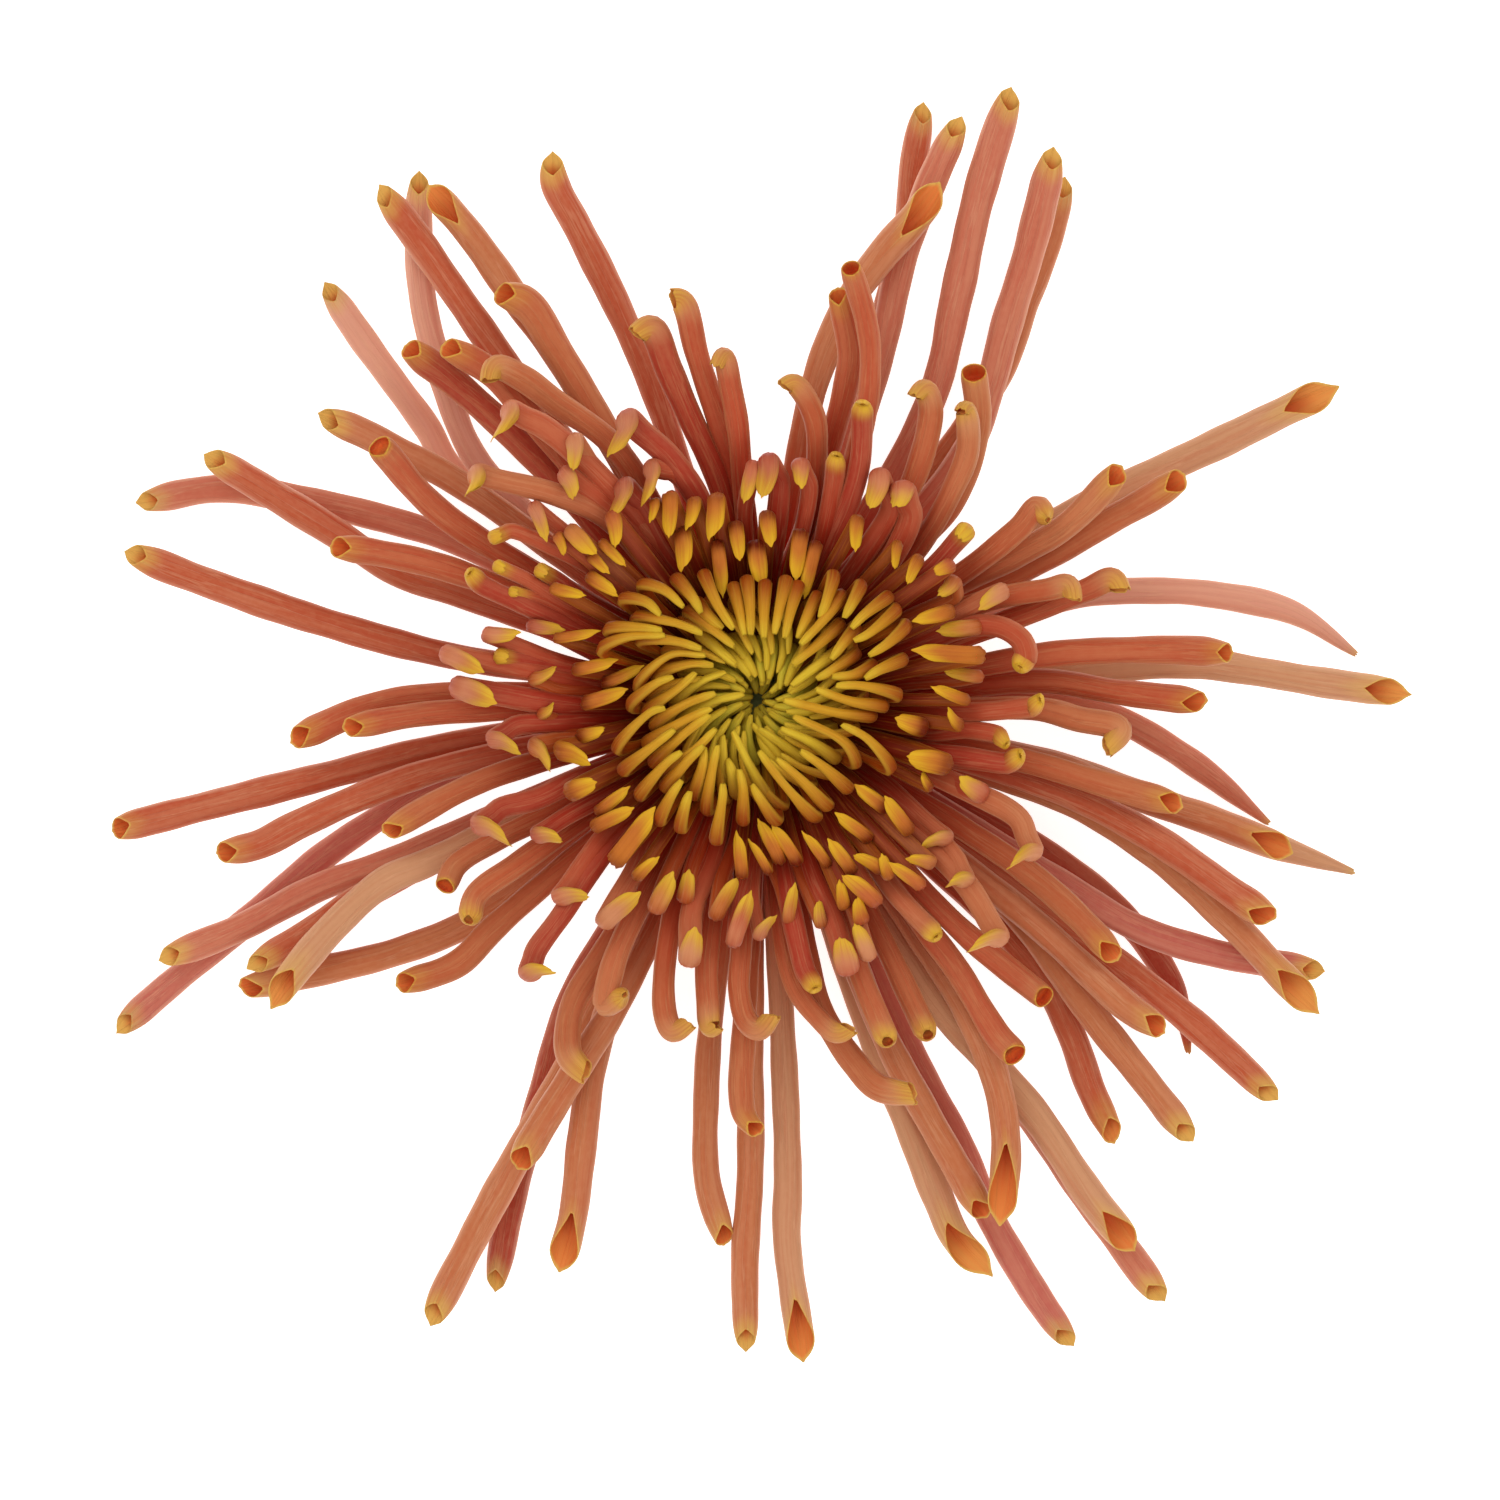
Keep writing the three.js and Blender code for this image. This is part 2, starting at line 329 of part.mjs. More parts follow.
/** Splits a flat list of x, y values into points. */
function pairUp(values) {
  const points = [];
  for (let i = 0; i < values.length; i += 2) points.push(new THREE.Vector2(values[i], values[i + 1]));
  return points;
}

/** Bearings of a level's roots: those of its quills, spread until none crowds its neighbour. */
function rootBearings(bearings, spacing) {
  const order = bearings.map((_, i) => i).sort((a, b) => bearings[a] - bearings[b]);
  const spread = order.map((i) => bearings[i]);
  const count = spread.length;
  for (let pass = 0; pass < 60; pass += 1) {
    for (let i = 0; i < count; i += 1) {
      const next = (i + 1) % count;
      const turn = next === 0 ? 2 * Math.PI : 0;
      const lack = spacing - (spread[next] + turn - spread[i]);
      if (lack > 0) {
        spread[i] -= lack / 2;
        spread[next] += lack / 2;
      }
    }
  }
  const result = [];
  order.forEach((original, place) => { result[original] = spread[place]; });
  return result;
}

/** One closed tube through the given stations, each a centre point and a width. */
function quillGeometry(stations, sides, flatness = QUILL_FLATNESS) {
  const centres = stations.map((station) => station.point);
  const tangents = centres.map((_, i) => new THREE.Vector3().subVectors(
    centres[Math.min(i + 1, centres.length - 1)], centres[Math.max(i - 1, 0)]).normalize());
  const vertices = [];
  const faces = [];
  const across = new THREE.Vector3().crossVectors(tangents[0], new THREE.Vector3(0, 0, 1)).normalize();
  centres.forEach((centre, i) => {
    across.addScaledVector(tangents[i], -across.dot(tangents[i])).normalize();
    const up = new THREE.Vector3().crossVectors(across, tangents[i]).normalize();
    for (let side = 0; side < sides; side += 1) {
      const angle = 2 * Math.PI * (side + 0.5) / sides;
      const halfWidth = stations[i].width / 2;
      vertices.push(centre.clone()
        .addScaledVector(across, Math.cos(angle) * halfWidth)
        .addScaledVector(up, Math.sin(angle) * halfWidth * flatness));
    }
  });
  const rings = centres.length;
  for (let ring = 0; ring + 1 < rings; ring += 1) {
    for (let side = 0; side < sides; side += 1) {
      const next = (side + 1) % sides;
      const here = ring * sides;
      faces.push(here + side, here + sides + side, here + sides + next);
      faces.push(here + side, here + sides + next, here + next);
    }
  }
  const last = (rings - 1) * sides;
  for (let side = 1; side + 1 < sides; side += 1) {
    faces.push(0, side, side + 1);
    faces.push(last, last + side + 1, last + side);
  }
  const geometry = new THREE.BufferGeometry().setFromPoints(vertices);
  geometry.setIndex(faces);
  return geometry;
}

/** Stations along a smooth line through the given points, with the width as a function of share. */
function stationsAlong(points, segments, widthAt) {
  const curve = new THREE.CatmullRomCurve3(points, false, "centripetal");
  return Array.from({ length: segments + 1 }, (_, i) => {
    const share = i / segments;
    return { point: curve.getPointAt(share), width: widthAt(share, curve.getPointAt(share)) };
  });
}

/** Width of a quill that swells from its root to full width and narrows a little at its tip. */
function swell(fullWidth, rootRadius) {
  return (share, point) => {
    const reach = Math.hypot(point.x, point.y);
    const grown = smooth(reach, rootRadius, rootRadius + FULL_WIDTH_REACH);
    const narrowed = 1 - TIP_NARROWING * smooth(share, 0.8, 1);
    return (QUILL_ROOT_WIDTH + (fullWidth - QUILL_ROOT_WIDTH) * grown) * narrowed;
  };
}

/** An outer or middle quill from its row, rooted at the given bearing. */
function levelQuill(row, bearing, roots, sides, segments) {
  const [level, width, ...values] = row;
  const plan = pairUp(values);
  const root = new THREE.Vector3(
    roots.radius * Math.cos(bearing), roots.radius * Math.sin(bearing), roots.height);
  const crest = LEVEL_CREST[level];
  const tipHeight = TOUCH_HEIGHT + width * (1 - TIP_NARROWING) * QUILL_FLATNESS / 2;
  const toSurface = (crest - tipHeight) / droopShare(plan[plan.length - 1].length());
  const droop = level === 0 ? toSurface : DROOP;
  const line = plan.map((spot) => new THREE.Vector3(
    spot.x, spot.y, levelHeight(crest, roots, droop, spot.length())));
  const points = [root, ...line];
  const tip = points[points.length - 1];
  const shoulder = points[points.length - 2];
  const turnsBack = Math.hypot(tip.x, tip.y) < Math.hypot(shoulder.x, shoulder.y) + CLEARANCE;
  if (turnsBack) {
    shoulder.z += width * HOOK_SHOULDER_RISE;
    tip.z += width * HOOK_HEIGHT;
  }
  return quillGeometry(stationsAlong(points, segments, swell(width, roots.radius)), sides);
}

/** A claw from its row: a rising tube whose end curls up and back over it. */
function clawQuill(width, plan, root, rise, sides, segments) {
  const points = plan.map((spot) => new THREE.Vector3(spot.x, spot.y, readRise(rise, spot.length())));
  const tip = points[points.length - 1];
  const shoulder = points[points.length - 2];
  tip.z = shoulder.z + width * CURL_HEIGHT;
  shoulder.z += width * CLAW_SHOULDER_RISE;
  const widthAt = (share) => {
    const grown = CLAW_ROOT_WIDTH + (width - CLAW_ROOT_WIDTH) * smooth(share, 0.1, 0.7);
    return grown * (1 - CLAW_TIP_NARROWING * smooth(share, 0.75, 1));
  };
  return quillGeometry(stationsAlong([root, ...points], segments, widthAt), sides);
}

/** A band round the dome that holds the roots of one group together. */
function rootBand(roots) {
  const thickness = ROOT_BAND_THICKNESS;
  const low = roots.radius - thickness;
  const high = roots.radius + thickness;
  const profile = [
    new THREE.Vector2(low, roots.height + thickness * 0.4),
    new THREE.Vector2(roots.radius, roots.height - thickness * 0.9),
    new THREE.Vector2(high, roots.height - thickness * 0.5),
    new THREE.Vector2(roots.radius, roots.height + thickness * 0.9),
    new THREE.Vector2(low, roots.height + thickness * 0.4),
  ];
  const band = new THREE.LatheGeometry(profile, 24);
  band.rotateX(Math.PI / 2);
  return band;
}

/** Turns a geometry into a solid that can be joined to others. */
function toSolid(geometry) {
  geometry.deleteAttribute("normal");
  geometry.deleteAttribute("uv");
  const merged = mergeVertices(geometry, 1e-4);
  return new wasm.Manifold(new wasm.Mesh({
    numProp: 3,
    vertProperties: new Float32Array(merged.attributes.position.array),
    triVerts: new Uint32Array(merged.index.array),
  }));
}

/** Joins overlapping closed geometries into one closed body. */
function joinAll(geometries) {
  const whole = wasm.Manifold.union(geometries.map(toSolid));
  const mesh = whole.getMesh();
  const geometry = new THREE.BufferGeometry();
  geometry.setAttribute("position", new THREE.BufferAttribute(new Float32Array(mesh.vertProperties), 3));
  geometry.setIndex(new THREE.BufferAttribute(new Uint32Array(mesh.triVerts), 1));
  return geometry;
}

/** Bearing of a quill's first listed point. */
function firstBearing(values) {
  return Math.atan2(values[1], values[0]);
}

/** A lathe shape that stands on the stem's axis. */
function turned(profile, steps) {
  const geometry = new THREE.LatheGeometry(profile.map(([r, z]) => new THREE.Vector2(r, z)), steps);
  geometry.rotateX(Math.PI / 2);
  return geometry;
}

function addStem() {
  const profile = [
    [0, 0], [STEM_RADIUS, 0], [STEM_RADIUS, STEM_TOP - 1], [STEM_RADIUS + 0.6, STEM_TOP], [0, STEM_TOP],
  ];
  addPiece("stem", turned(profile, 16), COLOURS.stem, 0.7);
}

function addReceptacle() {
  const floor = STEM_TOP + CLEARANCE;
  const profile = [
    [0, floor], [STEM_RADIUS + 1, floor], [DOME_RADIUS - 1.4, floor + 1], [DOME_RADIUS - 0.2, floor + 2.4],
    [DOME_RADIUS - 0.2, 10.6], [10.1, 12.8], [8.9, 13.9], [7.2, 15.2], [5.2, 16.2], [0, 16.9],
  ];
  addPiece("receptacle", turned(profile, 18), COLOURS.receptacle, 0.75);
}

/** One ring of small leafy bracts that cup the receptacle from below. */
function addBracts(name, firstTurn, reach, low) {
  const innerRadius = STEM_RADIUS + 0.75;
  const collar = turned([
    [innerRadius, low], [innerRadius + 1.4, low], [innerRadius + 1.4, low + BRACT_THICKNESS],
    [innerRadius, low + BRACT_THICKNESS], [innerRadius, low],
  ], 16);
  const bracts = Array.from({ length: BRACT_COUNT }, (_, i) => {
    const bearing = firstTurn + 2 * Math.PI * i / BRACT_COUNT;
    const line = [[innerRadius + 0.5, low + 0.2], [reach * 0.75, low + 0.45], [reach, low + 1.4]];
    const points = line.map(([r, z]) => new THREE.Vector3(r * Math.cos(bearing), r * Math.sin(bearing), z));
    const widthAt = (share) => BRACT_ROOT_WIDTH + 1.4 * Math.sin(Math.PI * share) - 1.1 * share;
    return quillGeometry(stationsAlong(points, 2, widthAt), 4, BRACT_FLATNESS);
  });
  addPiece(name, joinAll([collar, ...bracts]), COLOURS.bracts, 0.7);
}

function addOuterQuills() {
  const bearings = [];
  OUTER_ROOTS.forEach((_, level) => {
    const places = OUTER_QUILLS.map((row, i) => (row[0] === level ? i : -1)).filter((i) => i >= 0);
    const spread = rootBearings(places.map((i) => firstBearing(OUTER_QUILLS[i].slice(2))), ROOT_SPACING);
    places.forEach((place, i) => { bearings[place] = spread[i]; });
  });
  OUTER_QUILLS.forEach((row, i) => {
    const quill = levelQuill(row, bearings[i], OUTER_ROOTS[row[0]], 5, 5);
    const number = String(i + 1).padStart(2, "0");
    const colour = row[0] === 0 ? COLOURS.lower : COLOURS.outer;
    addPiece(`outer_floret_${number}`, quill, colour, 0.5);
  });
}

function addMiddleQuills() {
  const bearings = rootBearings(MIDDLE_QUILLS.map((row) => firstBearing(row.slice(2))), MIDDLE_SPACING);
  const quills = MIDDLE_QUILLS.map((row, i) => levelQuill(row, bearings[i], MIDDLE_ROOTS, 5, 4));
  addPiece("middle_florets", joinAll([rootBand(MIDDLE_ROOTS), ...quills]), COLOURS.middle, 0.5);
}

function addClaws() {
  const bearings = rootBearings(CLAWS.map((row) => firstBearing(row.slice(1))), CLAW_SPACING);
  const quills = CLAWS.map(([width, ...values], i) => {
    const root = new THREE.Vector3(
      CLAW_ROOTS.radius * Math.cos(bearings[i]), CLAW_ROOTS.radius * Math.sin(bearings[i]),
      CLAW_ROOTS.height);
    return clawQuill(width, pairUp(values), root, CLAW_RISE, 4, 4);
  });
  addPiece("outer_claws", joinAll([rootBand(CLAW_ROOTS), ...quills]), COLOURS.claw, 0.5);
}

function addInnerClaws() {
  const quills = INNER_CLAWS.map(([width, shoulderX, shoulderY, tipX, tipY]) => {
    const bearing = Math.atan2(shoulderY, shoulderX);
    const root = new THREE.Vector3(
      INNER_CLAW_ROOTS.radius * Math.cos(bearing), INNER_CLAW_ROOTS.radius * Math.sin(bearing),
      INNER_CLAW_ROOTS.height);
    const plan = pairUp([shoulderX * 0.7, shoulderY * 0.7, shoulderX, shoulderY, tipX, tipY]);
    return clawQuill(width, plan, root, INNER_CLAW_RISE, 4, 3);
  });
  addPiece("inner_claws", joinAll([rootBand(INNER_CLAW_ROOTS), ...quills]), COLOURS.innerClaw, 0.5);
}

function addCentre() {
  const cushion = turned([
    [0, 17.4], [CENTRE_ROOTS.radius + 0.7, 17.4], [4.3, 19.2], [6, 23.4],
    [5, 25.8], [3, 26.2], [1.1, 25], [0, 24.4],
  ], 16);
  const quills = CENTRE_QUILLS.map((values) => {
    const [shoulder, middle, tip] = pairUp(values);
    const reach = shoulder.length();
    const rootReach = Math.min(CENTRE_ROOTS.radius, reach * 0.45);
    const root = new THREE.Vector3(
      shoulder.x / reach * rootReach, shoulder.y / reach * rootReach, CENTRE_ROOTS.height);
    const height = readRise(CENTRE_RISE, reach);
    const points = [
      root,
      new THREE.Vector3(shoulder.x, shoulder.y, height),
      new THREE.Vector3(middle.x, middle.y, height + CENTRE_ARCH),
      new THREE.Vector3(tip.x, tip.y, height + CENTRE_TIP_RISE),
    ];
    const width = THREE.MathUtils.lerp(CENTRE_NARROW, CENTRE_WIDE, smooth(reach, 4, 11));
    const widthAt = (share) => width * (0.4 + 0.6 * Math.sin(Math.PI * share ** 0.8));
    return quillGeometry(stationsAlong(points, 3, widthAt), 4);
  });
  addPiece("centre_florets", joinAll([cushion, ...quills]), COLOURS.centre, 0.5);
}

addStem();
addReceptacle();
addBracts("lower_bracts", 0, 8.6, 4.35);
addBracts("upper_bracts", Math.PI / BRACT_COUNT, 10.6, 5.35);
addOuterQuills();
addMiddleQuills();
addClaws();
addInnerClaws();
addCentre();

export default group;
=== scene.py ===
"""Head of a spider chrysanthemum, cut just under the bloom and laid face up.

Sizes in the tables and the dataclass fields are millimetres, and the meshes are metres. The rows of
the florets are measured from the eye of the bloom, and EYE puts that eye where the frame has it.
"""

import logging
import math
from dataclasses import dataclass, field
from enum import Enum
from typing import NamedTuple

import bpy
import numpy as np
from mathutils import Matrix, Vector


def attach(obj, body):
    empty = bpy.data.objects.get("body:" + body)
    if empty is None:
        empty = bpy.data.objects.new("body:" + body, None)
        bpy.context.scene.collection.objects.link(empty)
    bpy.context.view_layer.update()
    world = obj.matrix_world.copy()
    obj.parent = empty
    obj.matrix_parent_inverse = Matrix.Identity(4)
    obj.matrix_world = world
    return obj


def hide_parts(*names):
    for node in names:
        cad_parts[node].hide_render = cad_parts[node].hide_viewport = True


Colour = tuple[float, float, float, float]

LOG = logging.getLogger("spider_chrysanthemum")
MM = 0.001
EYE = np.array([-0.45, 2.35, 0.0])
FULL_TURN = 2.0 * math.pi
LEVEL = np.array([1.0, 1.0, 0.0])

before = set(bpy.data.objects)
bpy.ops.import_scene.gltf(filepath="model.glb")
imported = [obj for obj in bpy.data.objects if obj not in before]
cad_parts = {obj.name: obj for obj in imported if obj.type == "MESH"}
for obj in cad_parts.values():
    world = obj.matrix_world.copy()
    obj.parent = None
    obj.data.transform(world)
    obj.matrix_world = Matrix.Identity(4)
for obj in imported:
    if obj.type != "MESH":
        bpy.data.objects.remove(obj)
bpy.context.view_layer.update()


def smooth(value: np.ndarray | float, low: float, high: float) -> np.ndarray:
    """Eases from 0 to 1 as a value, or each one of an array, goes from low to high."""
    share = np.clip((np.asarray(value, float) - low) / (high - low), 0.0, 1.0)
    return share * share * (3.0 - 2.0 * share)


def half_turns(angle: np.ndarray) -> np.ndarray:
    """Brings angles to within half a turn of zero, on either side."""
    return (angle + math.pi) % FULL_TURN - math.pi


def linear(red: float, green: float, blue: float) -> Colour:
    """Turns a display colour, 0 to 255, into the linear one that shaders read, with an alpha of 1."""
    shares = [channel / 255.0 for channel in (red, green, blue)]
    return (*(s / 12.92 if s <= 0.04045 else ((s + 0.055) / 1.055) ** 2.4 for s in shares), 1.0)


def add_object(name: str, data: bpy.types.ID) -> bpy.types.Object:
    """Adds an object to the scene.

    Args:
        name: Its name.
        data: Its mesh, lamp or camera.

    Returns:
        The object.
    """
    made = bpy.data.objects.new(name, data)
    bpy.context.scene.collection.objects.link(made)
    return made


class Tinted(Enum):
    """Named body colours, each written as a display colour."""

    @property
    def tint(self) -> Colour:
        """The colour as shaders read it."""
        return linear(*self.value)


class Hue(Tinted):
    """Body colours of the florets' tubes, half way along."""

    RUST = (179, 81, 52)
    TAWNY = (179, 94, 58)
    AMBER = (186, 108, 69)
    APRICOT = (194, 137, 99)
    SALMON = (190, 103, 79)
    BLUSH = (214, 148, 124)
    ROSE = (189, 100, 86)
    CRIMSON = (162, 59, 42)
    OCHRE = (184, 100, 36)


class CentreHue(Tinted):
    """Body colours of the centre florets, from the eye outward."""

    OLIVE = (198, 184, 50)
    GREEN_GOLD = (206, 172, 40)
    GOLD = (198, 140, 28)


class Tip(Enum):
    """Ways in which a floret ends."""

    CLOSED = "closed"
    POINTED = "pointed"
    MOUTH = "mouth"
    SPOON = "spoon"
    HOOK = "hook"
    UPTURNED = "upturned"
    CURLED = "curled"
    KNOB = "knob"
    CLAW = "claw"
    FINGER = "finger"


@dataclass(frozen=True)
class TipForm:
    """Cut and colour of one kind of tip.

    The opening is cut back along the tube by ``mouth`` on one side, to a point; a larger ``cut``
    makes it narrower, ``beak`` is the share of it that draws the far lip out to a point too,
    ``roll`` is the side that it is on, from the top, ``teeth`` is how deep the lip behind it is
    notched, and ``sink`` is how far the lining goes in behind it. The tube widens by ``flare`` over
    its last ``flare_length`` and narrows by ``taper`` over ``taper_length``: to a spear point where
    ``point`` is near 1, and bluntly where it is larger. Its last ``gold`` is golden by
    ``gold_share`` and ``pale`` is how pale it turns behind that: a paler shoulder with a painted
    highlight on the bend. ``glow`` is how golden the lining is painted behind the lip, a painted
    glow that stands for light shining in through the thin wall.
    """

    mouth: float
    cut: float = 1.5
    beak: float = 0.0
    roll: float = 0.0
    teeth: float = 0.3
    flare: float = 0.06
    flare_length: float = 1.6
    taper: float = 0.35
    taper_length: float = 4.0
    point: float = 1.5
    gold: float = 3.0
    gold_share: float = 1.0
    pale: float = 0.0
    sink: float = 3.0
    glow: float = 0.0

    def narrowing(self, left: np.ndarray) -> np.ndarray:
        """Share of its full width that the tube keeps where so much is left to its tip."""
        share = np.clip(1.0 - left / self.taper_length, 0.0, 1.0)
        return 1.0 - self.taper * share ** self.point


TIP_FORMS: dict[Tip, TipForm] = {
    Tip.CLOSED: TipForm(mouth=2.6, cut=1.6, beak=0.25, teeth=0.05, flare=0.0, taper=0.62, taper_length=4.2,
                        point=1.9, gold=2.4, gold_share=0.6, sink=0.2, glow=0.85),
    Tip.POINTED: TipForm(mouth=1.2, cut=2.0, roll=math.pi, flare=0.0, taper=0.8, taper_length=11.0,
                         gold=1.6, gold_share=0.5),
    Tip.MOUTH: TipForm(mouth=2.0, cut=2.2, beak=0.2, teeth=0.08, flare=0.0, taper=0.45, taper_length=3.2,
                       point=1.7, gold=2.6, gold_share=0.3, sink=1.0, glow=0.15),
    Tip.SPOON: TipForm(mouth=6.2, beak=0.2, teeth=0.15, flare=0.05, taper=0.5, taper_length=4.5, point=1.8,
                       gold=4.0, gold_share=0.35, sink=1.5, glow=0.35),
    Tip.HOOK: TipForm(mouth=1.4, cut=1.8, roll=1.1, teeth=0.4, taper=0.36, taper_length=2.6, gold=2.6,
                      gold_share=0.8, pale=0.35, sink=0.3, glow=0.6),
    Tip.UPTURNED: TipForm(mouth=1.1, teeth=0.15, taper=0.34, taper_length=2.2, point=1.6, gold=1.2,
                          gold_share=0.4, pale=0.15, sink=0.2, glow=0.35),
    Tip.CURLED: TipForm(mouth=0.5, teeth=0.25, taper=0.88, taper_length=2.0, point=1.3, gold=2.8, pale=0.2,
                        sink=0.1, glow=1.0),
    Tip.KNOB: TipForm(mouth=0.6, cut=1.4, flare=0.0, taper=0.5, taper_length=1.5, gold=3.2, pale=0.2,
                      sink=0.5, glow=0.5),
    Tip.CLAW: TipForm(mouth=2.2, cut=1.2, teeth=0.26, flare=0.03, taper=0.56, taper_length=2.6, gold=3.6,
                      pale=0.5, sink=1.5, glow=0.5),
    Tip.FINGER: TipForm(mouth=0.25, cut=1.2, teeth=0.08, flare=0.0, taper=0.5, taper_length=1.2, gold=2.4,
                        gold_share=0.8, sink=0.3, glow=0.5),
}


@dataclass
class Spine:
    """Smooth centre line of a floret, with the directions across and up at each station."""

    points: np.ndarray
    across: np.ndarray
    up: np.ndarray
    along: np.ndarray

    @classmethod
    def through(cls, knots: np.ndarray, stations: int = 220, steps: int = 24) -> "Spine":
        """Runs a centripetal curve through the knots and carries an untwisted frame along it.

        Args:
            knots: The points to pass, root first.
            stations: How many even steps the line is divided into.
            steps: How many steps each span between two knots is first drawn in.

        Returns:
            The spine.
        """
        ends = np.vstack([2 * knots[0] - knots[1], knots, 2 * knots[-1] - knots[-2]])
        share = np.linspace(0.0, 1.0, steps, endpoint=False)[:, None]
        square, cube = share ** 2, share ** 3
        spans = []
        for before, start, stop, after in zip(ends, ends[1:], ends[2:], ends[3:]):
            gaps = [math.sqrt(max(np.linalg.norm(b - a), 1e-4))
                    for a, b in ((before, start), (start, stop), (stop, after))]
            leave = ((start - before) / gaps[0] - (stop - before) / (gaps[0] + gaps[1])
                     + (stop - start) / gaps[1]) * gaps[1]
            arrive = ((stop - start) / gaps[1] - (after - start) / (gaps[1] + gaps[2])
                      + (after - stop) / gaps[2]) * gaps[1]
            spans.append((2 * cube - 3 * square + 1) * start + (cube - 2 * square + share) * leave
                         + (3 * square - 2 * cube) * stop + (cube - square) * arrive)
        fine = np.vstack([*spans, knots[-1:]])
        run = np.concatenate([[0.0], np.cumsum(np.linalg.norm(np.diff(fine, axis=0), axis=1))])
        along = np.linspace(0.0, run[-1], stations + 1)
        points = np.column_stack([np.interp(along, run, fine[:, axis]) for axis in range(3)])
        tangents = np.gradient(points, axis=0)
        tangents /= np.linalg.norm(tangents, axis=1, keepdims=True)
        side = np.cross(tangents[0], (0.0, 0.0, 1.0))
        sides = []
        for tangent in tangents:
            side = side - side.dot(tangent) * tangent
            side = side / np.linalg.norm(side)
            sides.append(side)
        across = np.array(sides)
        return cls(points, across, np.cross(across, tangents), along)

    @property
    def length(self) -> float:
        """Length along the line."""
        return float(self.along[-1])

    @property
    def left(self) -> np.ndarray:
        """Distance that is left from each station to the tip."""
        return self.length - self.along

    @property
    def reach(self) -> np.ndarray:
        """Distance of each station from the axis of the bloom."""
        return np.hypot(self.points[:, 0], self.points[:, 1])

    def read(self, values: np.ndarray, distance: np.ndarray) -> np.ndarray:
        """Reads station values at any distance along the line.

        Args:
            values: One number, or one row of numbers, for each station.
            distance: Distances along the line, of any shape.

        Returns:
            The values there, with a last axis where the values have one.
        """
        if values.ndim == 1:
            return np.interp(distance, self.along, values)
        return np.stack([np.interp(distance, self.along, column) for column in values.T], axis=-1)


@dataclass(frozen=True)
class TubeForm:
    """Mesh density and cross-section shared by the florets of one kind.

    A groove runs along the top and wanders to either side of it, fine ribs run round the tube, and
    ``waves`` in its width are given as (depth, radians per millimetre). ``wall`` is the thickness,
    ``thinnest`` the least half width, and ``gather`` draws the rows together toward the tip.
    """

    sides: int
    rows: int
    lining_rows: int = 7
    flatness: float = 0.84
    groove: float = 0.05
    groove_width: float = 0.38
    groove_wander: float = 0.25
    rib: float = 0.012
    ribs: float = 6.0
    waves: tuple[tuple[float, float], ...] = ((0.03, 0.5), (0.014, 1.27))
    wall: float = 0.12
    thinnest: float = 0.02
    gather: float = 1.3
    lining_gather: float = 1.3
    lip_gap: float = 0.06
    lining_gap: float = 0.08

    @property
    def angles(self) -> np.ndarray:
        """Angle of each column round the tube, from the top."""
        return FULL_TURN * np.arange(self.sides) / self.sides

    def by_row(self, outer: float, lip: float, inner: float) -> np.ndarray:
        """Gives the rows of the outer wall, of the lip and of the lining a value each."""
        return np.repeat([outer, lip, inner], [self.rows + 1, 1, self.lining_rows])[:, None]


# Pattern of a petal: its scale round and along the tube, and how far apart the florets' patterns lie.
GRAIN_ROUND, GRAIN_ALONG, GRAIN_APART = 1.3, 0.035, 37.0

# Lip of a floret: how many teeth there are round it, and how far they go from the back of it.
TEETH, TEETH_REACH = 6.0, 1.3

# Between these shares of its length, a tube goes from its plain root to its full groove and waves.
FORMED = (0.12, 0.4)

# Colours of a floret: widths of the gold rim on the lip and behind it, the reddening along the top of the
# tube, the painted highlight along its edges (pale sides that stand in for the sheen of the tube), and the
# most golden that a lining gets, which is partly a painted glow of light through the wall.
RIM_OUT, RIM_IN, TOP_RED, EDGE_HIGHLIGHT, MOST_GLOW = (0.1, 0.38), (0.05, 0.36), 0.12, 0.34, 0.95


